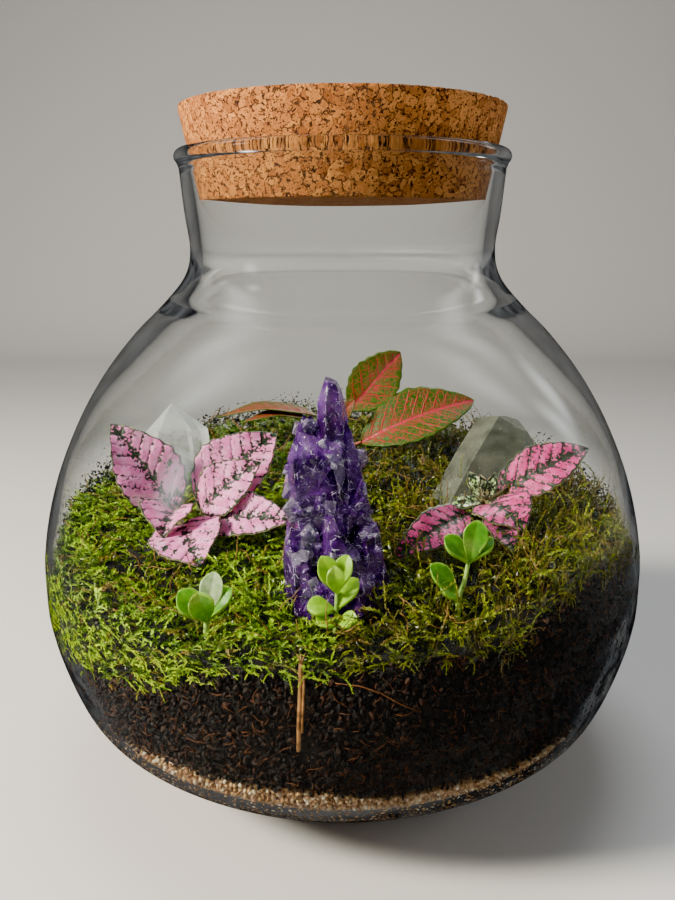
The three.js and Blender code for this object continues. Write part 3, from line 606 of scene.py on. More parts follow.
def netted_leaf(name, cell, net, rib, edge):
    # Nerve plant leaf: olive cells in a fine raised net of red veins around a crimson midrib.
    material, tree, shader = surface(name, {
        "Roughness": 0.45, "Specular IOR Level": 0.25,
        "Subsurface Weight": 0.06, "Subsurface Scale": 2 * MM, "Subsurface Radius": (1, 0.4, 0.2),
    })
    mapped, across, along, margin = blade_map(tree)
    side = vein_distance(tree, mapped, across, along, 4.4, 0.8)
    wander = add(tree, "TexNoise", {"Vector": mapped, "Scale": 0.8, "Detail": 2})
    warped = add(tree, "VectorMath", {0: mapped, 1: wander.outputs["Color"]}, operation="ADD")
    mesh = add(tree, "TexVoronoi", {"Vector": warped, "Scale": 0.5}, feature="DISTANCE_TO_EDGE")
    fine_net = add(tree, "MapRange", {0: mesh, 1: 0.02, 2: 0.085, 3: 0.75, 4: 0.0})
    side_vein = add(tree, "MapRange", {0: side, 1: 0.12, 2: 0.4, 3: 1.0, 4: 0.0})
    veins = add(tree, "Math", {0: fine_net, 1: side_vein}, operation="MAXIMUM")
    fade = add(tree, "MapRange", {0: margin, 1: 0.2, 2: 3.2, 3: 0.25, 4: 1.0})
    shown = add(tree, "Math", {0: veins, 1: fade}, operation="MULTIPLY")
    green = add(tree, "ValToRGB", {0: wander}, stops=[(0.35, cell), (0.7, edge)])
    netted = add(tree, "MixRGB", {0: shown, 1: green, 2: colour(net)})
    mid = add(tree, "MapRange", {0: across, 1: 0.2, 2: 0.6, 3: 1.0, 4: 0.0})
    ribbed = add(tree, "MixRGB", {0: mid, 1: netted, 2: colour(rib)})
    blush = add(tree, "MapRange", {0: across, 1: 0.5, 2: 4.0, 3: 0.25, 4: 0.0})
    warm = add(tree, "MixRGB", {0: blush, 1: ribbed, 2: colour(rib)})
    rim = add(tree, "MapRange", {0: margin, 1: 0.1, 2: 0.5, 3: 1.0, 4: 0.0})
    edged = add(tree, "MixRGB", {0: rim, 1: warm, 2: colour(edge)})
    bump = add(tree, "Bump", {"Strength": 0.6, "Distance": 0.3 * MM, "Height": veins})
    coat(tree, shader, edged, bump)
    return material


def fleshy_leaf(name, deep, light):
    # Young succulent leaf: smooth, waxy and full of water; its rim is painted paler for the light that glows
    # through it.
    material, tree, shader = surface(name, {
        "Roughness": 0.28, "Specular IOR Level": 0.35, "Coat Weight": 0.15, "Coat Roughness": 0.15,
        "Subsurface Weight": 0.15, "Subsurface Scale": 3 * MM, "Subsurface Radius": (0.5, 1, 0.15),
    })
    mapped, across, _, margin = blade_map(tree)
    tone = add(tree, "TexNoise", {"Vector": mapped, "Scale": 0.4, "Detail": 3})
    flesh = add(tree, "ValToRGB", {0: tone}, stops=[(0.3, deep), (0.7, light)])
    rib = add(tree, "MapRange", {0: across, 1: 0.05, 2: 0.3, 3: 0.3, 4: 0.0})
    ribbed = add(tree, "MixRGB", {0: rib, 1: flesh, 2: colour(light)})
    # The rim is painted pale: painted light glowing through it.
    rim = add(tree, "MapRange", {0: margin, 1: 0.0, 2: 0.3, 3: 0.5, 4: 0.0})
    edged = add(tree, "MixRGB", {0: rim, 1: ribbed, 2: colour("#A2CE3C")})
    bump = add(tree, "Bump", {"Strength": 0.25, "Distance": 0.3 * MM, "Height": tone})
    coat(tree, shader, edged, bump)
    return material


def soft_stem(name, low, high):
    # Young stem: watery and finely mottled.
    material, tree, shader = surface(name, {"Roughness": 0.5, "Specular IOR Level": 0.4})
    place = add(tree, "TexCoord").outputs["Object"]
    tone = add(tree, "TexNoise", {"Vector": place, "Scale": per_mm(1.4), "Detail": 3})
    flesh = add(tree, "ValToRGB", {0: tone}, stops=[(0.35, low), (0.65, high)])
    coat(tree, shader, flesh)
    return material


# ---- the jar and its stopper ----
def spun(profile, steps):
    """A closed body turned about the jar's axis from a profile of (radius, height)."""
    bm = bmesh.new()
    verts = [bm.verts.new((radius, 0, z)) for radius, z in profile]
    edges = [bm.edges.new(pair) for pair in zip(verts, verts[1:])]
    bmesh.ops.spin(
        bm, geom=verts + edges, cent=(0, 0, 0), axis=(0, 0, 1), angle=math.tau, steps=steps,
        use_merge=True,
    )
    bmesh.ops.remove_doubles(bm, verts=bm.verts, dist=1e-4)
    bmesh.ops.recalc_face_normals(bm, faces=bm.faces)
    return bm


# Neither the foot nor the floor of the jar ripples.
FLAT_BELOW = 6
FLAT_WITHIN = 30


def jar():
    """The jar, from the middle of its base out, over the bead and down its inside to the floor."""
    outside = [(min(p.x, WIDEST), p.y) for p in smoothed(JAR_OUTSIDE, CURVE_STEPS)]
    wall = [(p.x, p.y) for p in reversed(INSIDE_WALL)]
    bead = []
    for degrees in range(-50, 231, 20):
        angle = math.radians(degrees)
        bead.append((BEAD_RADIUS + BEAD_HALF * math.cos(angle), BEAD_HEIGHT + BEAD_HALF * math.sin(angle)))
    floor = [(radius, FLOOR_THICKNESS) for radius in (24, 10, 0)]
    bm = spun([(0, 0), (20, 0), (38, 0), *outside, *bead, *wall, *floor], 144)
    for vert in bm.verts:
        # Blown glass is never quite true: a slow ripple, inwards only, that bends its reflections.
        reach = math.hypot(vert.co.x, vert.co.y)
        if vert.co.z < FLAT_BELOW or reach < FLAT_WITHIN:
            continue
        ripple = 0.0006 * (1 + rough(vert.co, 30)) + 0.00015 * (1 + rough(vert.co, 9, 3))
        true = 1 - ripple if reach > wall_radius(vert.co.z) + 1 else 1 + ripple / 2
        vert.co.x *= true
        vert.co.y *= true
    return finished("blown_jar", bm, clear_blown_glass(), ["jar"])


# Radii of the rings of points on the cork's top. Each is set in a little further than the last.
CORK_RINGS = [51.2, 50.7, 50.1, 49.5, 48.8, 48, 47, 46, 44.6, 43, 41, 38, 34, 29, 23, 16, 8, 0]
CORK_ROWS = 52
CORK_SEGMENTS = 520


def cork_side(z):
    """Radius of the tapered cork at a height."""
    return mix(CORK_BOTTOM_RADIUS, CORK_TOP_RADIUS, (z - CORK_BOTTOM) / (CORK_TOP - CORK_BOTTOM))


def lost_from_cork(point, to_top, to_side):
    """How deep the cork's skin lies at a point: in its seams, its pits and its crumbled upper edge."""
    nearest, _ = noise.voronoi(point / CORK_GRANULE)
    seam = max(0, 1 - (nearest[1] - nearest[0]) / 0.12) * max(0, 0.4 + rough(point, 3, 4))
    pit = max(0, rough(point, 1.3) - 0.38)
    at_edge = max(0, 1 - to_top / 0.9) * max(0, 1 - to_side / 1.2)
    worn = 0.9 * max(0, rough(point, 2.4, 7)) + 0.8 * max(0, rough(point, 1.1, 9))
    return 0.04 + 0.16 * seam + 1.3 * pit + at_edge * (0.2 + worn)


def cork():
    """The stopper: a tapered disc whose side and top are as uneven as pressed granules are."""
    heights = [mix(CORK_BOTTOM, CORK_TOP, i / CORK_ROWS) for i in range(CORK_ROWS + 1)]
    under = [radius * CORK_BOTTOM_RADIUS / CORK_TOP_RADIUS for radius in reversed(CORK_RINGS)]
    profile = [(r, CORK_BOTTOM) for r in under] + [(cork_side(z), z) for z in heights]
    bm = spun(profile + [(r, CORK_TOP) for r in CORK_RINGS], CORK_SEGMENTS)
    for vert in bm.verts:
        reach = math.hypot(vert.co.x, vert.co.y)
        to_top = CORK_TOP - vert.co.z
        to_side = cork_side(vert.co.z) - reach
        depth = lost_from_cork(vert.co, to_top, to_side)
        if to_side < 0.1 and reach > 1:
            vert.co.x *= 1 - depth / reach
            vert.co.y *= 1 - depth / reach
        if to_top < 0.1:
            vert.co.z -= depth
    return finished("cork_bung", bm, pressed_cork(), ["cork_stopper"])


# ---- sand, soil and the mat under the moss ----
# A bed is shaped from a sphere: up to this share of the way from pole to pole it is the bed's
# underside, and from the other share on its top. Its side lies between them.
FOOT = 0.22
BRIM = 0.5


def bed(low, high, inset, uneven):
    """A bed that fills the jar from one surface up to another, a little inside the glass."""
    bm = bmesh.new()
    bmesh.ops.create_uvsphere(bm, u_segments=220, v_segments=90, radius=1)
    for vert in bm.verts:
        share = math.acos(max(-1, min(1, -vert.co.z))) / math.pi
        turn = turn_of(vert.co.x, vert.co.y)
        low_edge = edge_height(low, turn)
        high_edge = edge_height(high, turn)
        if share < FOOT:
            radius = (wall_radius(low_edge) - inset) * share / FOOT
            place = polar(radius, turn, 0)
            place.z = low(place.x, place.y)
        elif share < BRIM:
            z = mix(low_edge, high_edge, (share - FOOT) / (BRIM - FOOT))
            place = polar(wall_radius(z) - inset, turn, z)
        else:
            place = polar((wall_radius(high_edge) - inset) * (1 - share) / (1 - BRIM), turn, 0)
            place.z = high(place.x, place.y)
        away = uneven * (rough(place, 3.1) + 0.6 * rough(place, 1.3, 5))
        reach = max(1, math.hypot(place.x, place.y))
        place.x *= 1 - abs(away) / reach
        place.y *= 1 - abs(away) / reach
        place.z -= abs(away)
        vert.co = place
    bmesh.ops.recalc_face_normals(bm, faces=bm.faces)
    return bm


def lump(seed):
    """A small rounded stone or crumb, of a form of its own for each seed."""
    bm = bmesh.new()
    bmesh.ops.create_icosphere(bm, subdivisions=1, radius=1)
    for vert in bm.verts:
        vert.co *= 1 + 0.35 * rough(vert.co, 0.8, seed)
    return Seed(bm, ["shade"])


def flattened(size, second, third):
    """A matrix that gives a lump its size, with its two other axes drawn as shares of it."""
    return Matrix.Diagonal((size, size * dice.uniform(*second), size * dice.uniform(*third), 1))


def wall_rows(low, high, spacing):
    """Places over the inside of the glass, in rows, uneven as poured grains are."""
    z = low
    while z < high:
        slope = (wall_radius(z + 1) - wall_radius(z - 1)) / 2
        count = int(math.tau * wall_radius(z) / spacing)
        shift = dice.uniform(0, math.tau)
        for k in range(count):
            turn = shift + (k + dice.uniform(-0.35, 0.35)) * math.tau / count
            yield turn, z + dice.uniform(-0.4, 0.4) * spacing
        z += spacing / math.hypot(1, slope)


def shaded():
    """An empty mesh whose points carry a shade."""
    bm = bmesh.new()
    bm.verts.layers.float.new("shade")
    return bm


def evenly_shaded(bm, value):
    """Gives every point of a mesh the same shade."""
    shade = bm.verts.layers.float.new("shade")
    for vert in bm.verts:
        vert[shade] = value
    return bm


def finished_halves(name, halves, material, smooth=True):
    """The left and right half of the grains that lie against the glass, each a piece of its own."""
    for side, bm in halves.items():
        keep_inside(bm, -PRESSED)
        finished(f"{name}_{side}", bm, material, smooth=smooth)


def sand():
    """The drainage layer: a core, and loose grains where the glass shows it."""
    quartz = quartz_sand()
    floor = INSIDE_WALL[0].y + 0.5
    core = bed(lambda x, y: floor, lambda x, y: sand_top(x, y) - 0.6, 1.2, 0.4)
    finished("sand_bed", evenly_shaded(core, 0.3), quartz, ["sand_layer"])
    halves = {"left": shaded(), "right": shaded()}
    grains = [lump(1), lump(2), lump(3)]
    for turn, z in wall_rows(6.4, SAND_LEVEL + 2.4, 1.32):
        x, y, _ = polar(wall_radius(z), turn, 0)
        if z > sand_top(x, y) + 0.6 * rough((x, y, z), 5):
            continue
        size = dice.uniform(0.5, 0.86)
        place = polar(wall_radius(z) + PRESSED - 0.9 * size - dice.uniform(0, 0.4), turn, z)
        grade = flattened(size, (0.7, 1), (0.6, 0.9))
        half = halves["left" if place.x < 0 else "right"]
        dice.choice(grains).sow(half, Matrix.Translation(place) @ any_turn() @ grade, shade=dice.random())
    finished_halves("sand_grains", halves, quartz)


def strands(name, paths, thickness, material, replaces=()):
    """Thin round threads, one along each path of points; each point may carry its own girth."""
    curve = bpy.data.curves.new(name, "CURVE")
    curve.dimensions = "3D"
    curve.bevel_depth = thickness * MM
    curve.bevel_resolution = 0
    curve.use_fill_caps = True
    for path in paths:
        spline = curve.splines.new("POLY")
        spline.points.add(len(path) - 1)
        for point, (place, girth) in zip(spline.points, path):
            point.co = (*[value * MM for value in place], 1)
            point.radius = girth
    holder = bpy.data.objects.new(name + "_path", curve)
    bpy.context.collection.objects.link(holder)
    shape = bpy.data.meshes.new_from_object(holder.evaluated_get(bpy.context.evaluated_depsgraph_get()))
    bpy.data.objects.remove(holder)
    bpy.data.curves.remove(curve)
    bm = bmesh.new()
    bm.from_mesh(shape)
    bpy.data.meshes.remove(shape)
    bmesh.ops.remove_doubles(bm, verts=bm.verts, dist=1e-8)
    bmesh.ops.scale(bm, vec=(1 / MM,) * 3, verts=bm.verts)
    finished(name, bm, material, replaces)


def wandering(start, heading, length, steps, sway):
    """A path that sets out on a heading and wanders."""
    point = Vector(start)
    heading = Vector(heading).normalized()
    path = [point.copy()]
    for _ in range(steps):
        heading += Vector([dice.uniform(-sway, sway) for _ in range(3)])
        heading.normalize()
        point = point + heading * length / steps
        path.append(point.copy())
    return path


TWIG_PATH = [(-10.2, -94.4, 77), (-10.5, -94.6, 69), (-10.9, -93.9, 61), (-11.2, -91.8, 52)]


def under_twig(place):
    """Whether a place against the glass is where the twig lies."""
    return place.y < -80 and 47 < place.z < 78 and abs(place.x + 10.7) < 1.7


def soil():
    """The soil: a core, and loose crumbs where the glass shows it."""
    peat = damp_peat()
    core = bed(lambda x, y: sand_top(x, y) - 0.2, soil_top, 1.7, 0.9)
    finished("soil_core", evenly_shaded(core, 0.45), peat, ["soil_bed"])
    halves = {"left": shaded(), "right": shaded()}
    crumbs = [lump(4), lump(5), lump(6)]
    for turn, z in wall_rows(SAND_LEVEL - 3, 96, 1.5):
        x, y, _ = polar(wall_radius(z), turn, 0)
        if not sand_top(x, y) < z < soil_top(x, y) + 2:
            continue
        size = dice.uniform(0.5, 1.25)
        place = polar(wall_radius(z) + PRESSED - 0.5 * size - 1.5 * dice.random() ** 1.4, turn, z)
        if under_twig(place):
            continue
        grade = flattened(size, (0.4, 0.75), (0.3, 0.6))
        tone = 0.3 + 0.9 * dice.random() ** 2.2
        half = halves["left" if place.x < 0 else "right"]
        dice.choice(crumbs).sow(half, Matrix.Translation(place) @ any_turn() @ grade, shade=tone)
    finished_halves("soil_crumbs", halves, peat, smooth=False)


# Threads press this far into the glass where they lie against it.
THREAD_PRESSED = 0.2
LONG_ROOT = [(-2.2, -96.6, 72.5), (4, -96.4, 71.6), (9, -96, 69.4), (14, -95.4, 66), (19.2, -94.2, 63.2)]


def soil_fibres():
    """Short dead roots all over the soil, and one long live one at the front."""
    threads = []
    for turn, z in wall_rows(SAND_LEVEL + 1, 94, 3.4):
        x, y, _ = polar(wall_radius(z), turn, 0)
        if not sand_top(x, y) + 1 < z < soil_top(x, y) + 1:
            continue
        start = polar(wall_radius(z) - dice.uniform(-0.1, 0.8), turn, z)
        heading = (dice.uniform(-1, 1), dice.uniform(-1, 1), dice.uniform(-0.8, 0.8))
        path = wandering(start, heading, dice.uniform(2, 7), 4, 0.6)
        girths = (0.6, 1, 0.9, 0.7, 0.3)
        threads.append([(inside(point, -THREAD_PRESSED), girth) for point, girth in zip(path, girths)])
    strands("soil_fibres", threads, 0.1, plant_fibre("dead_roots", "#2E1810", "#8A5630"))
    root = [on_glass(Vector(point), -THREAD_PRESSED) for point in LONG_ROOT]
    long_root = list(zip(root, (0.5, 1, 1, 0.8, 0.4)))
    strands("long_root", [long_root], 0.2, plant_fibre("live_root", "#4A2814", "#8A5A30"))


def twig():
    """A dry straw against the glass: split along its length, and frayed at its top."""
    middle = smoothed(TWIG_PATH, 4)
    straw = [(on_glass(point, 0.45), 1 - 0.2 * k / 12) for k, point in enumerate(middle)]
    splinter = [(on_glass(point + Vector((0.7, 0, -3)), 0.15), 0.5) for point in middle[:9]]
    frayed = [[(straw[0][0], 0.4), (straw[0][0] + Vector((x, 0.6, 2.4)), 0.15)] for x in (-1.1, -0.2, 0.9)]
    bark = plant_fibre("dry_bark", "#5E3A1C", "#B98850")
    strands("split_twig", [straw, splinter, *frayed], 0.8, bark, ["dry_twig"])


# ---- moss ----
def leaflet_matrix(place, bend, spin, opening, length, width):
    """Lays a leaflet on a thread, pointing up along it and opened outwards. It starts as a triangle in
    a circle of radius 1, so it is 1.5 long and 1.73 wide."""
    shape = Matrix(((0, 0, 1, 0), (0, width / 1.73, 0, 0), (length / 1.5, 0, 0, length / 3), (0, 0, 0, 1)))
    along = Matrix.Rotation(bend, 4, "Y") @ Matrix.Rotation(spin, 4, "Z") @ Matrix.Rotation(opening, 4, "Y")
    return Matrix.Translation(place) @ along @ shape


STEM_STEPS = 3
# What the moss's finish reads at each point: how far up its thread it is, how bright, how dry, and how
# much painted light its depth in the mat leaves it, for painted shade among the shoots.
MOSS_NUMBERS = ("along", "shade", "dry", "vigour")


def arc(length, bend, share):
    """The place a share of the way along a thread that sets out upwards and bends by an angle."""
    return Vector((1 - math.cos(bend * share), 0, math.sin(bend * share))) * length / bend


def moss_thread(bm, start, length, bend, leaflets, leaflet, width, opening, birth=0.0):
    """One leafy thread that sets out upwards from start and arcs over."""
    along = bm.verts.layers.float["along"]
    ring = bmesh.ops.create_circle(bm, cap_ends=False, segments=3, radius=0.17)["verts"]
    edges = list({edge for vert in ring for edge in vert.link_edges})
    stem = list(ring)
    for step in range(1, STEM_STEPS + 1):
        grown = bmesh.ops.extrude_edge_only(bm, edges=edges)["geom"]
        edges = [part for part in grown if isinstance(part, bmesh.types.BMEdge)]
        ring = [part for part in grown if isinstance(part, bmesh.types.BMVert)]
        for vert in ring:
            vert.co = (vert.co.x * 0.75, vert.co.y * 0.75, step / STEM_STEPS)
        stem += ring

    for vert in stem:
        share = vert.co.z
        vert[along] = birth + (1 - birth) * share * 0.8
        side = Matrix.Rotation(bend * share, 4, "Y") @ Vector((vert.co.x, vert.co.y, 0))
        vert.co = start @ (arc(length, bend, share) + side)
    for k in range(leaflets):
        share = 0.06 + 0.92 * (k + 0.5) / leaflets
        small = 1 - 0.45 * share ** 3
        place = arc(length, bend, share)
        matrix = start @ leaflet_matrix(
            place, bend * share, k * 2.4 + dice.uniform(-0.4, 0.4), opening * dice.uniform(0.7, 1.25),
            leaflet * small * dice.uniform(0.85, 1.15), width * small,
        )
        corners = bmesh.ops.create_circle(bm, cap_ends=True, segments=3, radius=1, matrix=matrix)["verts"]
        tip = max(corners, key=lambda vert: (vert.co - start @ place).length)
        for vert in corners:
            vert[along] = birth + (1 - birth) * share
        tip[along] = min(1, tip[along] + 0.18)


def plume(length, bend, leaflets, branches, leaflet, width, opening=0.62):
    """A moss shoot: one thread with smaller ones leaving it on both sides."""
    bm = bmesh.new()
    bm.verts.layers.float.new("along")
    moss_thread(bm, Matrix.Identity(4), length, bend, leaflets, leaflet, width, opening)
    for k in range(branches):
        share = 0.25 + 0.5 * k / max(1, branches)
        place = arc(length, bend, share)
        way = (1 if k % 2 else -1) * dice.uniform(0.6, 0.95)
        start = (Matrix.Translation(place) @ Matrix.Rotation(bend * share, 4, "Y")
                 @ Matrix.Rotation(way, 4, "X") @ Matrix.Rotation(dice.uniform(-1, 1), 4, "Z"))
        moss_thread(bm, start, length * dice.uniform(0.3, 0.42), dice.uniform(0.3, 0.9), 10, leaflet * 0.85,
                    width * 0.9, opening, share * 0.8)
    return Seed(bm, MOSS_NUMBERS)


def moss_seeds():
    """The kinds of shoot: feathers, stars and strings. Each kind has a few forms."""
    feathers = [plume(13, 1.3, 26, 2, 1.5, 0.62), plume(11, 0.9, 24, 2, 1.5, 0.62),
                plume(15, 1.7, 28, 1, 1.45, 0.6), plume(9.5, 0.6, 22, 1, 1.5, 0.62)]
    stars = [plume(11, 0.35, 34, 0, 1.9, 0.62, 0.95), plume(9, 0.5, 30, 0, 1.7, 0.6, 1.0)]
    strings = [plume(17, 1.9, 30, 1, 1.2, 0.6, 0.5), plume(14, 2.3, 28, 1, 1.2, 0.6, 0.5),
               plume(18, -1.2, 32, 1, 1.15, 0.55, 0.5)]
    return feathers, stars, strings


SEEDS = moss_seeds()


def standing(place, heading, lean, size):
    """Sets a shoot on its place, leaning by an angle towards a heading."""
    return (Matrix.Translation(place) @ Matrix.Rotation(heading, 4, "Z") @ Matrix.Rotation(lean, 4, "Y")
            @ Matrix.Rotation(dice.uniform(-0.6, 0.6), 4, "Z") @ Matrix.Scale(size, 4))


def sort_of_moss(x, y):
    """Which shoots grow here, and how dry they are: fresh feathers at the left and in front, dark
    stars at the back, stringy olive threads at the right."""
    feathers, stars, strings = SEEDS
    patch = rough((x, y, 0), 14, 11)
    right = min(1, max(0, (x - 5) / 40 + 0.7 * patch))
    back = min(1, max(0, (y - 15) / 25 + 0.6 * patch))
    roll = dice.random()
    if roll < back * 0.75:
        return dice.choice(stars), 0.12 + 0.25 * max(0, patch)
    if roll < back * 0.75 + right * 0.75:
        return dice.choice(strings), 0.25 + 0.5 * max(0, patch)
    return dice.choice(feathers), 0.05 + 0.35 * max(0, patch - 0.1)


# Where the four cushions meet.
PARTING_X = -2
PARTING_Y = 8
# Places as (x, y, radius): what stands in the mat, the room round the sprouts and under the two plants.
STONES_AND_STEMS = [
    (-2.5, -65, 16), (-61, 25, 12), (52, 10, 13), (-48, -27, 2.2), (46, -24, 2.2), (-1, 42, 2.2),
    (-36.6, -76.5, 2), (-2.2, -81, 2), (31.2, -72, 2),
]
ROUND_SPROUTS = [(-36.6, -76.5, 10), (-2.2, -81, 10), (31.2, -72, 10)]
UNDER_PLANTS = [(-48, -33, 22), (40, -32, 22)]
GOLDEN_TURN = math.pi * (3 - math.sqrt(5))


def within(x, y, circles):
    """Whether a place lies in any of the circles."""
    return any(math.hypot(x - cx, y - cy) < radius for cx, cy, radius in circles)


def on_cushion(x, y, side_x, side_y):
    """Whether a place lies on the cushion of that side."""
    return (x - PARTING_X) * side_x >= 0 and (y - PARTING_Y) * side_y >= 0


def moss_mesh():
    """An empty mesh whose points carry the moss's numbers."""
    bm = bmesh.new()
    for number in MOSS_NUMBERS:
        bm.verts.layers.float.new(number)
    return bm


def set_shoot(bm, shoot, dry, place, heading, lean, size, vigour):
    """Sets a shoot in the mat. The odd one is parched, whatever grows round it."""
    parched = dry * dice.random() * 2 if dice.random() < 0.85 else dice.uniform(0.5, 1)
    matrix = standing(place, heading, lean, size)
    shoot.sow(bm, matrix, shade=dice.random() ** 2, dry=min(1, parched), vigour=vigour)


def cushion(side_x, side_y, spacing):
    """The shoots that stand on one cushion of the mat."""
    bm = moss_mesh()
    count = int(math.pi * RIM_RADIUS ** 2 / spacing ** 2)
    for i in range(count):
        radius = 95 * math.sqrt((i + 0.5) / count)
        x, y, _ = polar(radius, i * GOLDEN_TURN, 0)
        x += dice.uniform(-1, 1)
        y += dice.uniform(-1, 1)
        if not on_cushion(x, y, side_x, side_y) or within(x, y, STONES_AND_STEMS):
            continue
        shoot, dry = sort_of_moss(x, y)
        overgrown = within(x, y, UNDER_PLANTS)
        size = dice.uniform(0.55, 1.0) * (0.7 if overgrown else 1)
        lean = dice.uniform(0.1, 1.15)
        sunk = dice.random() ** 1.5
        open_ground = y < -15 and not overgrown and not within(x, y, ROUND_SPROUTS)
        if open_ground and dice.random() < 0.06:
            # A strong young shoot stands out of the rest, and is painted brightest.
            shoot, dry, sunk, size = dice.choice(SEEDS[0]), 0, -0.1, dice.uniform(1.05, 1.3)
        place = Vector((x, y, moss_top(x, y) - mix(2, 6.5, sunk)))
        heading = dice.uniform(0, math.tau)
        if y < 20 and dice.random() < 0.45:
            # Those in front lean forwards, to the light.
            heading = math.radians(-90) + dice.uniform(-0.9, 0.9)
        # Shoots set deeper get less painted light: painted shade among the others.
        set_shoot(bm, shoot, dry, place, heading, lean, size, mix(1.1, 0.4, sunk))
    keep_inside(bm, 0.5)
    return bm


def fringe(side_x, side_y, spacing):
    """The shoots that press against the glass, from the edge of the soil up."""
    bm = moss_mesh()
    for turn, z in wall_rows(50, 104, spacing):
        x, y, _ = polar(wall_radius(z), turn, 0)
        if not on_cushion(x, y, side_x, side_y):
            continue
        ragged = 3 * rough((x, y, z), 8, 2) + 1.2 * rough((x, y, z), 2.5, 4)
        if not soil_top(x, y) + 1.2 + ragged < z < moss_top(x, y) - 1:
            continue
        shoot, dry = sort_of_moss(x, y)
        size = dice.uniform(0.34, 0.74)
        sunk = dice.random() ** 1.5
        place = polar(wall_radius(z) - mix(0.1, 2.4, sunk), turn, z - 1)
        along_wall = turn + dice.choice((0, math.pi)) + dice.uniform(-0.6, 0.6)
        outward = turn - math.pi / 2 + dice.uniform(-0.5, 0.5)
        heading = along_wall if dice.random() < 0.65 else outward
        lean = dice.uniform(0.2, 1.5)
        # Shoots set back from the glass get less painted light: painted shade.
        set_shoot(bm, shoot, dry, place, heading, lean, size, mix(1.15, 0.6, sunk))
    keep_inside(bm, -PRESSED)
    return bm


def moss():
    """The mat: four cushions of four kinds, each with its fringe, over litter that shows between them."""
    # The first colour of each finish, near-black, is partly painted shade at the foot of the shoots.
    lime = living_moss("feather_moss_lime", "#10180A", "#58820A", "#BEDE12", "#98BE0E")
    green = living_moss("feather_moss_green", "#100E07", "#48580A", "#A8B41A", "#7A8014")
    olive = living_moss("feather_moss_olive", "#100E07", "#38460C", "#809020", "#56641A")
    dark = living_moss("star_moss_dark", "#0A1006", "#30520E", "#76A01E", "#527C14")
    corners = {
        "moss_front_left": (-1, -1, lime), "moss_front_right": (1, -1, green),
        "moss_back_left": (-1, 1, dark), "moss_back_right": (1, 1, olive),
    }
    for name, (side_x, side_y, finish) in corners.items():
        spacing = 2.05 if side_y < 0 else 2.25
        shoots = cushion(side_x, side_y, spacing)
        finished(name + "_shoots", shoots, finish, [name], smooth=False)
        edge = fringe(side_x, side_y, 1.5 if side_y < 0 else 1.75)
        finished(name + "_fringe", edge, finish, smooth=False)
    # The litter takes the darkest peat tone: its own damp colour, and partly painted shade in the gaps
    # between the shoots.
    core = bed(lambda x, y: soil_top(x, y) - 0.3, lambda x, y: moss_top(x, y) - 3.5, 2.0, 1.2)
    finished("moss_litter", evenly_shaded(core, 0.2), damp_peat())


# ---- leaves and stems ----
# Half the width of a blade, as a share of its widest, at each share of its length.
OUTLINES = {
    "ovate": lambda t: max(0, math.sin(math.pi * t ** 0.76)) ** 0.78,
    "oval": lambda t: max(0, math.sin(math.pi * t ** 0.9)) ** 0.75,
    "spoon": lambda t: max(0, math.sin(math.pi * t ** 1.9)) ** 0.62,
}
FRONT_UP = (0, -0.75, 0.65)
SCALLOPS = 8


def blade(bm, base, tip, face, width, outline="ovate", fold=0.2, arch=0.1, wave=0.0, waves=3.0,
          thickness=0.45, quilt=0.12, scallop=0.03, rows=44, columns=18):
    """Adds one leaf blade: folded along its midrib, bowed, rippled and quilted between its veins."""
    start = Vector(base)
    along = Vector(tip) - start
    length = along.length
    along.normalize()
    across = along.cross(Vector(face)).normalized()
    up = across.cross(along)
    uv = bm.loops.layers.uv["blade"]
    margin = bm.verts.layers.float["margin"]
    grid = bmesh.ops.create_grid(bm, x_segments=columns, y_segments=rows, size=1)["verts"]
    faces = list({face for vert in grid for face in vert.link_faces})
    chart = {}
    for vert in grid:
        s = vert.co.x
        t = (vert.co.y + 1) / 2
        half = width / 2 * max(0.02, OUTLINES[outline](t))
        half *= 1 + scallop * math.sin(math.tau * SCALLOPS * t)
        from_rib = half * abs(s)
        ripple = wave * s * s * math.sin(math.tau * waves * t + (0 if s > 0 else 1.3))
        vein = math.cos(math.tau * (length * t - VEIN_SLANT * from_rib) / VEIN_SPACING)
        relief = -quilt * vein * (1 - s * s) - 1.2 * quilt * math.exp(-(from_rib / 0.7) ** 2)
        rise = 4 * arch * length * t * (1 - t) + fold * from_rib + ripple + relief
        chart[vert] = (half * s, length * t)
        vert[margin] = min(half * (1 - abs(s)), 0.8 * length * (1 - t) + 0.1)
        vert.co = start + along * length * t + across * half * s + up * rise
    for face in faces:
        for loop in face.loops:
            loop[uv].uv = chart[loop.vert]
    bmesh.ops.solidify(bm, geom=faces, thickness=thickness)


def leaf_rows(common, rows):
    """Leaves written as rows of (base, tip, the way they face, width and what is their own)."""
    leaves = []
    for base, tip, face, width, *own in rows:
        leaves.append(dict(common, base=base, tip=tip, face=face, width=width, **dict(*own)))
    return leaves


def leafy(name, leaves, material, replaces=()):
    """Blades of one plant, as one piece."""
    bm = bmesh.new()
    bm.loops.layers.uv.new("blade")
    bm.verts.layers.float.new("margin")
    for leaf in leaves:
        blade(bm, **leaf)
    bmesh.ops.recalc_face_normals(bm, faces=bm.faces)
    finished(name, bm, material, replaces)


def stems(name, paths, material, radius):
    """The stems and leaf stalks of one plant, slimmer towards their ends."""
    tapered = []
    for path in paths:
        points = smoothed(path, 5)
        tapered.append([(point, mix(1, 0.62, k / len(points))) for k, point in enumerate(points)])
    strands(name, tapered, radius, material)


def hairs(name, paths, count, length, finish):
    """Short fine hairs standing out of the stems of a pink plant."""
    made = []
    for _ in range(count):
        path = smoothed(dice.choice(paths), 5)
        place = dice.choice(path)
        out = anywhere().normalized()
        made.append([(place, 1), (place + out * length, 0.3)])
    strands(name, made, 0.05, soft_stem(finish, "#C9C3A2", "#E9E4CC"))


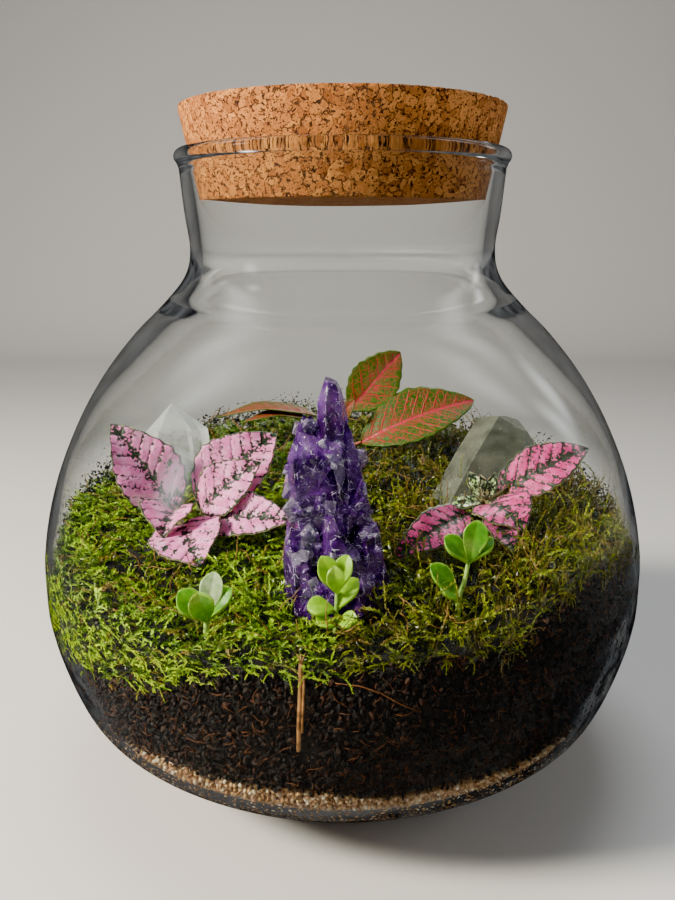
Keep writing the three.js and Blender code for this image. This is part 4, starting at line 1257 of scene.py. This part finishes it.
def left_pink_plant():
    """The pale pink polka-dot plant: two stems with broad leaves."""
    left = (-53, -26, 93)
    right = (-44, -26, 93.5)
    leaves = leaf_rows({"wave": 0.7, "waves": 2.5}, [
        ((-54.4, -24.5, 95), (-71.4, -26, 123), (0.3, -0.85, 0.4), 21.5),
        ((-50.5, -31.5, 91.5), (-42, -52, 84.6), (-0.1, -0.5, 0.8), 23),
        ((-53, -28, 95.5), (-54.5, -42, 90.5), (0, -0.3, 1), 17, {"fold": 0.7}),
        ((-52.4, -26, 94.5), (-51.5, -27.5, 103.5), FRONT_UP, 4.5),
        ((-45.5, -23.5, 96), (-21.5, -14, 118.8), (-0.2, -0.85, 0.4), 23.5),
        ((-45, -27.5, 96), (-25.5, -29, 112), (-0.35, -0.85, 0.35), 16.5),
        ((-42.5, -28.5, 92.8), (-14.6, -41, 96), FRONT_UP, 16.5),
    ])
    finish = spotted_leaf("pink_spotted_leaf", "#F3A2CC", "#EA82B9", "#DE66A8", 0.845)
    leafy("pink_leaves_left", leaves, finish, ["polka_dot_left"])
    paths = [[(-48, -27, 78.6), (-48, -27, 86), left], [(-48, -27, 84), (-46.5, -26.5, 88), right]]
    paths += [[left, leaf["base"]] for leaf in leaves[:4]]
    paths += [[right, leaf["base"]] for leaf in leaves[4:]]
    stems("pink_stems_left", paths, soft_stem("hairy_stem", "#4C5A2A", "#9A8F5E"), 1.1)
    hairs("pink_stem_hairs_left", paths, 260, 1.7, "pale_hair")


def right_pink_plant():
    """The hot pink polka-dot plant: narrower leaves, and pale young ones at its top."""
    top = (46, -22.5, 97)
    low = (46, -24, 91)
    wavy = {"wave": 0.5, "waves": 2.5}
    small = {"rows": 24, "columns": 10, "quilt": 0.05}
    leaves = leaf_rows(wavy, [
        ((53, -17, 99.5), (79.5, -17, 113.5), (-0.25, -0.8, 0.55), 16.5),
        ((46.5, -25, 97), (54.5, -42, 92.6), (0, -0.65, 0.75), 19, {"arch": 0.16}),
        ((39.5, -29, 94.8), (14.5, -51, 86.8), (-0.05, -0.8, 0.6), 13.5),
        ((47, -28, 92.5), (50, -51, 88.6), (0, -0.7, 0.7), 10),
        ((51, -18, 98.5), (58.5, -9, 109), (-0.5, -0.7, 0.4), 4.6, small),
    ])
    buds = leaf_rows(wavy | small, [
        ((44, -24, 97.5), (32, -31, 97), (0, -0.6, 0.8), 5.4),
        ((44.8, -22, 98.5), (40.6, -18, 106), FRONT_UP, 5.4),
        ((45.6, -23, 98.8), (43.6, -24, 106.5), (0.2, -0.9, 0.3), 4.2),
        ((46.6, -22.5, 98.8), (48.6, -23, 107), (-0.2, -0.9, 0.3), 4.2),
    ])
    finish = spotted_leaf("hot_pink_spotted_leaf", "#E05896", "#D23E84", "#BC2A70", 0.8)
    leafy("pink_leaves_right", leaves, finish, ["polka_dot_right"])
    young = spotted_leaf("young_spotted_leaf", "#E9EED0", "#C6DC8E", "#86B84C", 0.85)
    leafy("bud_leaves_right", buds, young)
    paths = [[(46, -24, 78.6), low, top]]
    paths += [[low if k in (2, 3) else top, leaf["base"]] for k, leaf in enumerate(leaves)]
    paths += [[top, leaf["base"]] for leaf in buds]
    stems("pink_stems_right", paths, soft_stem("brown_stem", "#4A4A24", "#7D6C42"), 1.0)
    hairs("pink_stem_hairs_right", paths, 200, 1.6, "pale_hair_right")


def red_nerve_plant():
    """The nerve plant at the back: two red-netted leaves, and ruddy ones seen from their edge."""
    low = (-1, 42, 101)
    middle = (-1, 42, 107)
    top = (1.5, 43.5, 116)
    flat = {"outline": "oval", "wave": 0.3, "waves": 2}
    leaves = leaf_rows(flat, [
        ((7.5, 35.5, 105.6), (51, 41, 123.4), (-0.25, -0.8, 0.6), 24.5),
        ((3, 44, 119.5), (23, 46, 141), (0.1, -0.9, 0.2), 18.5),
    ])
    ruddy = leaf_rows(flat, [
        ((-0.8, 38.3, 115.5), (5, 35, 124.5), (-0.4, -0.9, 0.2), 6.5, {"rows": 24}),
        ((-9, 45.8, 115.8), (-48.5, 45, 115.2), (0, -0.12, 1), 14),
        ((-12, 42.5, 115), (-38, 36, 114.6), (0, -0.12, 1), 10),
    ])
    finish = netted_leaf("red_netted_leaf", "#284A0A", "#AA1A24", "#BA1840", "#3A5C0F")
    leafy("nerve_leaves", leaves, finish, ["nerve_plant"])
    brown = netted_leaf("ruddy_netted_leaf", "#4A2412", "#8E2E1A", "#963020", "#4E5A18")
    leafy("nerve_leaves_ruddy", ruddy, brown)
    paths = [[(-1, 42, 80.5), (-1, 42, 92), low, middle, top]]
    starts = (low, top, middle, middle, middle)
    paths += [[start, leaf["base"]] for start, leaf in zip(starts, leaves + ruddy)]
    stems("nerve_stems", paths, soft_stem("ruddy_stem", "#5A2A1C", "#A85A3C"), 1.0)


FLESHY = {
    "outline": "spoon", "thickness": 1.0, "fold": 0.25, "quilt": 0.0, "scallop": 0.0,
    "rows": 26, "columns": 14,
}


def sprout(name, node, leaves, path, finish, stem_finish):
    """One succulent sprout: its fleshy leaves, and the stem that they leave."""
    leafy(name + "_leaves", leaf_rows(FLESHY, leaves), finish, [node])
    stems(name + "_stem", [path], stem_finish, 1.0)


def sprouts():
    """The three succulent sprouts in front."""
    bright = fleshy_leaf("lime_succulent_leaf", "#70AA0A", "#A6D01C")
    deep = fleshy_leaf("green_succulent_leaf", "#2E6A0A", "#5A9412")
    fresh = fleshy_leaf("mid_succulent_leaf", "#3E7E0A", "#70A612")
    stalk = soft_stem("succulent_stem", "#6A9A2C", "#B5D468")
    base = (-36.4, -76.8, 79.5)
    sprout("left_sprout", "sprout_left", [
        (base, (-43.2, -78, 88.4), (0.2, -0.9, 0.5), 6.6),
        (base, (-37.8, -80.5, 89.2), (0.1, -0.9, 0.35), 6.8),
        (base, (-29.6, -76, 88.2), (-0.5, -0.8, 0.3), 4.8),
    ], [(-36.6, -76.5, 74.6), base, (-36.2, -76.8, 81)], fresh, stalk)
    # One leaf at the back of the left sprout is pale and silvery.
    silvery = leaf_rows(FLESHY, [(base, (-34.2, -74, 92), (0, -0.95, 0.3), 6.2)])
    pale_silvery_leaf = fleshy_leaf("pale_silvery_succulent_leaf", "#7E9A62", "#C4D2A6")
    leafy("left_sprout_faded_leaf", silvery, pale_silvery_leaf)
    low, middle, top = (-2, -81.2, 80.5), (-1.9, -81.4, 84.5), (-1.7, -81.6, 89.5)
    sprout("middle_sprout", "sprout_middle", [
        (top, (-5.8, -82.5, 99.6), (0.25, -0.9, 0.3), 5.4),
        (top, (1.2, -80.5, 99.2), (-0.25, -0.9, 0.3), 4.8),
        (top, (-2.4, -85, 98), (0, -0.9, 0.35), 4.6),
        (middle, (-9.4, -83.8, 86.6), (0.1, -0.6, 0.8), 5),
        (middle, (3.8, -79.8, 92.4), (-0.5, -0.8, 0.4), 4.8),
        (low, (-6.9, -86.4, 83.4), (0, -0.5, 0.9), 5.4),
        (low, (3.4, -86, 83.8), (0, -0.6, 0.8), 4.8),
    ], [(-2.2, -81, 74.6), low, middle, top], bright, stalk)
    low, middle, top = (31.2, -72, 83.5), (32.6, -71.4, 88), (33.6, -71, 93.5)
    sprout("right_sprout", "sprout_right", [
        (top, (35.8, -70.4, 105.4), (0, -0.95, 0.3), 6.6),
        (top, (26.8, -72, 101.4), (0.3, -0.8, 0.5), 5.2),
        (top, (40.2, -69.6, 100), (-0.4, -0.8, 0.5), 4),
        (top, (38.4, -66, 97), (-0.3, -0.4, 0.9), 4.2),
        (low, (23, -74, 94), (0.4, -0.8, 0.5), 5.6),
        (low, (25.6, -76.8, 88.6), (0.3, -0.6, 0.8), 4.8),
    ], [(31.2, -72, 75.4), low, middle, top], deep, stalk)


# ---- crystals ----
CRYSTAL_FLOOR = 79.4
# Crystals as (foot, tip, radius, sides, taper, share of the length at which the point starts, turn).
AMETHYST = [
    ((-3, -65, 110), (-3.7, -66, 145.5), 5.9, 6, 0.74, 0.76, 0.4),
    ((-5, -66, 76), (-10.5, -66, 133.5), 10.4, 6, 0.8, 0.8, 0.2),
    ((-1, -64, 76), (0.6, -65, 132), 11, 5, 0.62, 0.78, 0.9),
    ((0, -65, 96), (6.9, -65.5, 121), 4.6, 5, 0.9, 0.72, 0.3),
    ((6, -65, 76), (6, -66, 108), 8, 6, 0.7, 0.72, 0.7),
    ((8, -67, 74), (9.5, -68, 98), 5.8, 5, 0.8, 0.72, 0.1),
    ((-3, -71, 75), (-3.5, -74, 110), 8, 5, 0.75, 0.72, 0.5),
    ((-8.5, -70, 75), (-11.5, -72, 106), 6.8, 6, 0.8, 0.8, 0.8),
    ((3, -72, 75), (4, -74, 95), 7, 5, 0.8, 0.72, 0),
    ((-10.5, -64, 78), (-14.4, -64, 124), 5.4, 5, 0.7, 0.72, 0.6),
    ((-4, -58, 75), (-6, -60, 118), 9, 6, 0.8, 0.72, 0.25),
    ((5, -59, 75), (6, -59, 104), 7.5, 5, 0.8, 0.72, 0.45),
]
CLEAR_CRYSTAL = AMETHYST[3]
CLEAR_QUARTZ = ((-60, 23, 70), (-63.5, 30, 124), 13.5, 6, 0.9, 0.78, 0.35)
SMOKY_QUARTZ = ((33, -4, 70), (62.5, 20, 120), 15, 6, 0.9, 0.87, 0.1)


def crystal(foot, tip, radius, sides, taper, shoulder, turn):
    """One leaning crystal: uneven sides, a slight taper and a point."""
    bm = bmesh.new()
    along = Vector(tip) - Vector(foot)
    tilt = Vector((0, 0, 1)).rotation_difference(along.normalized())
    ring = bmesh.ops.create_circle(bm, cap_ends=True, segments=sides, radius=radius)["verts"]
    for k, vert in enumerate(ring):
        angle = turn + (k + 0.18 * math.sin(2.4 * k + turn)) * math.tau / sides
        uneven = radius * (1 + 0.1 * math.cos(3.1 * k + turn))
        vert.co = (uneven * math.cos(angle), uneven * math.sin(angle), 0)
    top = bmesh.ops.extrude_face_region(bm, geom=bm.faces[:], use_keep_orig=True)["geom"]
    for vert in [part for part in top if isinstance(part, bmesh.types.BMVert)]:
        vert.co = (vert.co.x * taper, vert.co.y * taper, shoulder * along.length)
    cap = [part for part in top if isinstance(part, bmesh.types.BMFace)]
    point = bmesh.ops.poke(bm, faces=cap)["verts"][0]
    point.co = (0, 0, along.length)
    bmesh.ops.rotate(bm, cent=(0, 0, 0), matrix=tilt.to_matrix(), verts=bm.verts)
    bmesh.ops.translate(bm, vec=Vector(foot), verts=bm.verts)
    bmesh.ops.recalc_face_normals(bm, faces=bm.faces)
    return bm


def cut(bm, point, normal):
    """Cuts off what lies beyond a plane, and closes the cut with a flat face."""
    halves = bmesh.ops.bisect_plane(
        bm, geom=bm.verts[:] + bm.edges[:] + bm.faces[:], plane_co=point, plane_no=normal, clear_outer=True,
    )
    edges = [part for part in halves["geom_cut"] if isinstance(part, bmesh.types.BMEdge)]
    if edges:
        bmesh.ops.contextual_create(bm, geom=edges)


def chipped(bm, chips, depth):
    """Knocks flat chips off a crystal's corners and edges, and leaves its tip."""
    for _ in range(chips):
        bm.verts.ensure_lookup_table()
        summit = max(bm.verts, key=lambda vert: vert.co.z).co.copy()
        corner = dice.choice([vert for vert in bm.verts if vert.co.z > CRYSTAL_FLOOR + 4]).co.copy()
        middle = sum((vert.co for vert in bm.verts), Vector()) / len(bm.verts)
        out = (corner - middle).normalized() + 0.5 * anywhere()
        out.normalize()
        point = corner - out * dice.uniform(0.4, 1) * depth
        if (summit - point).dot(out) < -0.1:
            cut(bm, point, out)


def rock(middle, reach, blows):
    """One broken lump of quartz: a ball struck flat on many sides."""
    bm = bmesh.new()
    bmesh.ops.create_cube(bm, size=2.6, matrix=any_turn())
    for _ in range(blows):
        out = Vector([dice.gauss(0, 1) for _ in range(3)]).normalized()
        cut(bm, out * dice.uniform(0.62, 1.0), out)
    bmesh.ops.scale(bm, vec=reach, verts=bm.verts)
    bmesh.ops.translate(bm, vec=middle, verts=bm.verts)
    return bm


def stone(name, parts, edge, material, node):
    """One stone from its crystals and lumps, each with how clear it is: bevelled, and cut level where
    it stands."""
    whole = bmesh.new()
    for bm, pale in parts:
        cut(bm, (0, 0, CRYSTAL_FLOOR), (0, 0, -1))
        bmesh.ops.dissolve_limit(bm, angle_limit=0.03, verts=bm.verts, edges=bm.edges)
        rounded = bmesh.ops.bevel(
            bm, geom=bm.edges[:], offset=edge, segments=2, profile=0.5, affect="EDGES", material=-1,
            clamp_overlap=True,
        )
        bmesh.ops.recalc_face_normals(bm, faces=bm.faces)
        clearness = bm.verts.layers.float.new("pale")
        # Bevelled ridges are marked, for the finishes to paint white in places: rubbed frost, partly a
        # painted highlight along the edges.
        worn = bm.verts.layers.float.new("worn")
        ridges = set(rounded["faces"])
        for vert in bm.verts:
            vert[clearness] = pale
            vert[worn] = all(face in ridges for face in vert.link_faces)
        part = bpy.data.meshes.new("crystal")
        bm.to_mesh(part)
        bm.free()
        whole.from_mesh(part)
        bpy.data.meshes.remove(part)
    finished(name, whole, material, [node], smooth=False)


# Lumps that the tower is broken into, as (middle, reach, blows, how clear).
LUMPS = [
    ((-9.3, -66, 130), (2.8, 3, 2.3), 12, 0.85),
    ((-6.6, -70, 121), (6, 4, 7.4), 12, 0.0), ((-12.4, -66, 118.6), (2.7, 4, 6.4), 12, 0.6),
    ((-1.4, -68, 119.5), (2.4, 4, 7), 12, 0.35), ((4.7, -66, 121.4), (1.8, 2.4, 2.9), 12, 0.45),
    ((-4.4, -71, 110), (8, 4.2, 5), 16, 0.0), ((4.6, -69, 109), (3.6, 4, 6.4), 14, 0.05),
    ((-11.5, -74, 109.3), (1.8, 1.4, 1.5), 10, 1.0), ((-9.6, -74.5, 98), (5, 2.6, 7), 12, 0.7),
    ((-1.2, -75, 96), (4.6, 2.6, 8), 14, 0.2), ((6.6, -71, 96), (4.4, 4, 8), 14, 0.0),
    ((-3, -77, 86), (7.4, 2.4, 5), 14, 0.1),
]
SPIRE_BREAK = (-3.7, -66, 142)
SPIRE_BREAK_FACES = (0.4, -0.3, 1)
# Half the width of the tower and its middle, at each height.
TOWER_HALF = [(78, 15.5), (100, 13), (112, 12), (126, 9), (133, 6.5), (142, 1)]
TOWER_MIDDLE = [(78, -2), (100, -3), (112, -4.6), (126, -6), (142, -4)]
# Its flanks are struck straight between these two heights.
FLANK_LOW, FLANK_HIGH = 96, 132


def within_tower(place, margin):
    """Whether a place lies inside the tower's outline, by a margin."""
    return abs(place[0] - eased(TOWER_MIDDLE, place[2])) < eased(TOWER_HALF, place[2]) - margin


def strike_flank(bm, side):
    """Strikes off what stands out past the tower's outline on one side."""
    low, high = [eased(TOWER_MIDDLE, z) + side * eased(TOWER_HALF, z) for z in (FLANK_LOW, FLANK_HIGH)]
    run = Vector((high - low, 0, FLANK_HIGH - FLANK_LOW)).normalized()
    cut(bm, Vector((low, 0, FLANK_LOW)), Vector((side * run.z, 0, -side * run.x)))


def small_crystals(count):
    """Stubby crystals that fill the cluster between its tall ones."""
    parts = []
    for k in range(count):
        foot_end, tip_end, parent_radius, *_ = AMETHYST[1 + k % (len(AMETHYST) - 1)]
        axis = Vector(foot_end).lerp(Vector(tip_end), dice.uniform(0.3, 0.7))
        angle = dice.uniform(0, math.tau)
        out = Vector((math.cos(angle), math.sin(angle), 0)) * parent_radius * 0.45
        foot = axis + out
        tip = foot + out.normalized() * dice.uniform(0.5, 2) + Vector((0, 0, dice.uniform(5, 10)))
        radius = dice.uniform(1.8, 3.2)
        if within_tower(tip, 1.5) and within_tower(foot, radius):
            parts.append((tuple(foot), tuple(tip), radius, dice.choice((5, 6)), 0.8, 0.6, dice.random()))
    return [(crystal(*shape), dice.choice((0, 0, 0.3))) for shape in parts]


def splinters(count):
    """Splinters and steps that stand out of the broken faces."""
    parts = []
    for k in range(count):
        middle, reach, _, _ = LUMPS[k % len(LUMPS)]
        out = Vector([dice.gauss(0, 1), -abs(dice.gauss(0, 1)), dice.gauss(0, 1)]).normalized()
        place = Vector(middle) + Vector([a * b * 0.9 for a, b in zip(out, reach)])
        size = dice.uniform(0.4, 1.7)
        if within_tower(place, size):
            flat = (size, size * dice.uniform(0.5, 1), size * dice.uniform(0.5, 1.5))
            parts.append((rock(place, flat, 7), dice.choice((0, 0, 0, 0.3, 0.9))))
    return parts


def amethyst():
    """The tower: tall crystals, chipped and struck off along its outline, and what they broke into."""
    parts = []
    for shape in AMETHYST:
        bm = crystal(*shape)
        chipped(bm, 5, 1.6)
        cut(bm, SPIRE_BREAK, SPIRE_BREAK_FACES)
        strike_flank(bm, -1)
        strike_flank(bm, 1)
        parts.append((bm, 0.3 if shape is CLEAR_CRYSTAL else 0.0))
    parts += [(rock(middle, reach, blows), pale) for middle, reach, blows, pale in LUMPS]
    parts += small_crystals(26)
    parts += splinters(230)
    stone("amethyst_cluster", parts, 0.12, grown_amethyst(), "amethyst_tower")


def stones():
    """The amethyst tower and the two quartz points."""
    amethyst()
    clear = cut_quartz("clear_rock_crystal", "#FBFBFB", "#DCDDDD", 0.72, 0.05)
    stone("clear_quartz_point", [(crystal(*CLEAR_QUARTZ), 0)], 0.35, clear, "quartz_clear")
    smoky = cut_quartz("smoky_rock_crystal", "#63655A", "#A0A394", 0.6, 0.12)
    bm = crystal(*SMOKY_QUARTZ)
    chipped(bm, 3, 1.4)
    stone("smoky_quartz_point", [(bm, 0)], 0.5, smoky, "quartz_smoky")


# ---- what lies about on the moss and clings to the glass ----
def litter():
    """Dry threads of old moss and rootlets caught among the shoots."""
    threads = []
    for _ in range(520):
        radius = 94 * math.sqrt(dice.random())
        turn = dice.uniform(-math.pi, math.pi)
        x, y, _ = polar(radius, turn, 0)
        if within(x, y, STONES_AND_STEMS) or within(x, y, ROUND_SPROUTS):
            continue
        start = Vector((x, y, moss_top(x, y) + dice.uniform(0.5, 4)))
        heading = (dice.uniform(-1, 1), dice.uniform(-1, 1), dice.uniform(-0.2, 0.8))
        path = wandering(start, heading, dice.uniform(4, 11), 5, 0.5)
        girths = (0.5, 1, 1, 0.8, 0.6, 0.3)
        threads.append([(inside(point, 0.6), girth) for point, girth in zip(path, girths)])
    strands("dry_threads", threads, 0.17, plant_fibre("dry_moss_thread", "#4A2E16", "#A87E3C"))


# Where dried bits cling, as (azimuth, spread) in degrees.
DRY_PATCHES = [(197, 13), (200, 10), (118, 16), (-96, 12)]


def dried_bits():
    """Dark dried moss that stands up at the back edge, and crumbs that cling to the glass above it."""
    bm = shaded()
    bits = [lump(7), lump(8)]
    for _ in range(1300):
        turn = math.radians(dice.choice([dice.gauss(*patch) for patch in DRY_PATCHES]))
        edge = edge_height(moss_top, turn)
        rise = min(11, abs(dice.gauss(0, 4.6)))
        z = edge + rise - 1
        place = polar(wall_radius(z) - dice.uniform(0.7, 6) * math.exp(-rise / 6), turn, z)
        size = dice.uniform(0.25, 0.75) * math.exp(-rise / 14)
        grade = flattened(size, (0.5, 0.9), (0.8, 2))
        matrix = Matrix.Translation(place) @ any_turn() @ grade
        dice.choice(bits).sow(bm, matrix, shade=dice.uniform(0.2, 0.8))
    keep_inside(bm, 0.3)
    finished("dried_moss_bits", bm, damp_peat(), smooth=False)


# ---- studio ----
def dimmed_when_mirrored(tree, bright, dim, output):
    """Shows the dim shader to the paths that the jar itself mirrors, as black cards round a set do: the
    glass keeps grey edges and no pale veil. What stands inside still mirrors the bright studio: a path
    that it mirrors has passed the wall twice, four faces in all. A path that has passed none was
    mirrored by the outer skin, which shows next to nothing."""
    path = add(tree, "LightPath")
    mirrored = add(tree, "Math", {0: path.outputs["Glossy Depth"], 1: 0.5}, operation="GREATER_THAN")
    by_jar = add(tree, "Math", {0: path.outputs["Transmission Depth"], 1: 2.5}, operation="LESS_THAN")
    by_skin = add(tree, "Math", {0: path.outputs["Transmission Depth"], 1: 0.5}, operation="LESS_THAN")
    dark = add(tree, "Emission", {"Color": colour("#FFFFFF"), "Strength": 0.004})
    nearly = add(tree, "MixShader", {0: by_skin, 1: dim, 2: dark})
    share = add(tree, "Math", {0: mirrored, 1: by_jar}, operation="MULTIPLY")
    both = add(tree, "MixShader", {0: share, 1: bright, 2: nearly})
    tree.links.new(both.outputs[0], output.inputs["Surface"])


def darker_in_front(tree, coordinates, stops):
    """A grey that is dark on the camera's side and lighter behind and to the right of the jar."""
    split = add(tree, "SeparateXYZ", {0: coordinates})
    right = add(tree, "Math", {0: split.outputs["X"], 1: 0.5}, operation="MULTIPLY")
    slanted = add(tree, "Math", {0: right, 1: split.outputs["Y"]}, operation="ADD")
    share = add(tree, "MapRange", {0: slanted, 1: -1.0, 2: 1.0, 3: 0.0, 4: 1.0})
    return add(tree, "ValToRGB", {0: share}, stops=stops)


SWEEP_HALF_WIDTH = 2.2
SWEEP_FRONT = -1.8
SWEEP_LENGTH = 5.6
SWEEP_BEND = 0.6
SWEEP_HEIGHT = 1.9


def paper_sweep():
    """A pale matt floor that bends up into a wall behind the jar. Studio lengths are in metres."""
    pale, tree, shader = surface("pale_matt_board", {"Base Color": colour("#CDCCC9"), "Roughness": 0.6})
    place = add(tree, "TexCoord").outputs["Object"]
    grey = darker_in_front(tree, place, [(0.5, "#3A3C40"), (0.7, "#7C7E81"), (0.95, "#AEB0B2")])
    dim = add(tree, "BsdfDiffuse", {"Color": grey})
    dimmed_when_mirrored(tree, shader, dim, tree.nodes["Material Output"])
    bm = bmesh.new()
    bmesh.ops.create_grid(bm, x_segments=1, y_segments=24, size=1)
    for vert in bm.verts:
        run = (vert.co.y + 1) / 2
        bend = max(0, run - 0.5) / 0.5
        vert.co.x *= SWEEP_HALF_WIDTH
        vert.co.y = SWEEP_FRONT + SWEEP_LENGTH * min(run, 0.5) + SWEEP_BEND * math.sin(bend * math.pi / 2)
        vert.co.z = SWEEP_HEIGHT * (1 - math.cos(bend * math.pi / 2))
    sweep = made_of(pale, "paper_sweep", bm)
    sweep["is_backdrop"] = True
    return sweep


def aimed(place, height):
    """The turn that points a lamp or a card at the jar's axis, at a height."""
    return (Vector((0, 0, height)) - Vector(place)).to_track_quat("-Z", "Y")


def soft_card(name, place, wide, tall, strength):
    """A white card that only mirrors: its light fades out towards its edges, as on blown glass lit
    through silk."""
    material = bpy.data.materials.new(name)
    material.use_nodes = True
    tree = material.node_tree
    fading = add(tree, "Attribute", attribute_name="glow")
    light = add(tree, "Emission", {"Color": colour("#F4F7FA"), "Strength": strength})
    nothing = add(tree, "BsdfTransparent")
    both = add(tree, "MixShader", {0: fading.outputs["Fac"], 1: nothing, 2: light})
    tree.links.new(both.outputs[0], tree.nodes["Material Output"].inputs["Surface"])
    bm = bmesh.new()
    bmesh.ops.create_grid(bm, x_segments=16, y_segments=16, size=1)
    glow = bm.verts.layers.float.new("glow")
    for vert in bm.verts:
        out = min(1, math.hypot(vert.co.x, vert.co.y))
        vert[glow] = (0.5 + 0.5 * math.cos(math.pi * out)) ** 1.5
        vert.co = Vector((vert.co.x * wide / 2, vert.co.y * tall / 2, 0))
    turned = aimed(place, 0.1).to_matrix().to_4x4()
    bmesh.ops.transform(bm, matrix=Matrix.Translation(place) @ turned, verts=bm.verts)
    card = made_of(material, name, bm, smooth=False)
    card.visible_camera = False
    card.visible_diffuse = False
    card.visible_shadow = False
    card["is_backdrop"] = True


def screened(name, *pieces):
    """A list of pieces that a lamp doesn't reach."""
    group = bpy.data.collections.new(name)
    for piece in pieces:
        group.objects.link(piece)
    for entry in group.collection_objects:
        entry.light_linking.link_state = "EXCLUDE"
    return group


def soft_lamp(name, place, wide, tall, power, tint, kept_off):
    """A rectangular lamp that points at the planting and doesn't reach the pieces it is kept off."""
    lamp = bpy.data.lights.new(name, "AREA")
    lamp.shape = "RECTANGLE"
    lamp.size = wide
    lamp.size_y = tall
    lamp.energy = power
    lamp.color = colour(tint)[:3]
    holder = bpy.data.objects.new(name, lamp)
    holder.location = place
    holder.rotation_euler = aimed(place, 0.09).to_euler()
    bpy.context.collection.objects.link(holder)
    holder.light_linking.receiver_collection = kept_off


def studio_air():
    """An even pale grey all round, dimmer for what the jar mirrors."""
    world = bpy.data.worlds.new("studio_air")
    world.use_nodes = True
    tree = world.node_tree
    air = tree.nodes["Background"]
    air.inputs["Color"].default_value = colour("#C9CCD0")
    air.inputs["Strength"].default_value = 0.38
    way = add(tree, "TexCoord").outputs["Generated"]
    grey = darker_in_front(tree, way, [(0.2, "#4C4E52"), (0.6, "#74767A"), (0.9, "#A2A4A7")])
    dim = add(tree, "Background", {"Color": grey, "Strength": 0.7})
    dimmed_when_mirrored(tree, air, dim, tree.nodes["World Output"])
    bpy.context.scene.world = world


def studio(glass, bung):
    """The floor, the lamps, the cards that the glass mirrors, and the air."""
    sweep = paper_sweep()
    # The lamps that light the planting are screened from the jar, so their squares don't glare on it.
    from_glass = screened("screened_from_glass", glass)
    from_set = screened("screened_from_set", glass, bung, sweep)
    soft_lamp("left_lamp", (-0.7, -0.3, 0.58), 0.18, 0.18, 44, "#FFF3E2", from_glass)
    soft_lamp("right_lamp", (0.7, -0.3, 0.4), 0.5, 0.5, 3, "#FFFFFF", from_glass)
    soft_lamp("front_lamp", (-0.5, -1.1, 0.7), 0.7, 0.5, 7, "#FFFFFF", from_set)
    soft_lamp("back_lamp", (0.3, 0.6, 0.6), 0.3, 0.3, 18, "#FFFFFF", from_set)
    soft_lamp("top_lamp", (0.0, 0.06, 1.2), 0.5, 0.4, 12, "#F6F9FF", from_glass)
    soft_card("left_strip", (-0.51, 0.09, 0.76), 0.36, 0.8, 8)
    soft_card("right_strip", (0.5, 0.13, 0.76), 0.26, 0.8, 6)
    soft_card("left_card", (-0.62, -0.24, 0.4), 0.26, 0.36, 11)
    soft_card("right_card", (0.7, 0.3, 0.45), 0.2, 0.5, 8)
    studio_air()
    bpy.context.scene.view_settings.look = "AgX - Punchy"


# The camera was fitted to the jar's outline: its lens in millimetres on a sensor 36 mm high, its place
# in metres and how far it is tilted up from straight down, in degrees.
LENS, SENSOR_HEIGHT = 35.6, 36
CAMERA_PLACE = (-0.0016, -0.2982, 0.1797)
CAMERA_TILT = 76.43


def portrait_camera():
    """The camera that looks from where the photo was taken."""
    lens = bpy.data.cameras.new("portrait")
    lens.sensor_fit = "VERTICAL"
    lens.sensor_height = SENSOR_HEIGHT
    lens.lens = LENS
    lens.clip_start = 0.01
    camera = bpy.data.objects.new("portrait", lens)
    camera.location = CAMERA_PLACE
    camera.rotation_euler = (math.radians(CAMERA_TILT), 0, 0)
    bpy.context.collection.objects.link(camera)
    bpy.context.scene.camera = camera


portrait_camera()
studio(jar(), cork())
sand()
soil()
soil_fibres()
twig()
moss()
left_pink_plant()
right_pink_plant()
red_nerve_plant()
sprouts()
stones()
litter()
dried_bits()

boxes = {"cad": CAD_BOX, "visual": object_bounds()}
{name: [list(corner) for corner in box] for name, box in boxes.items()}
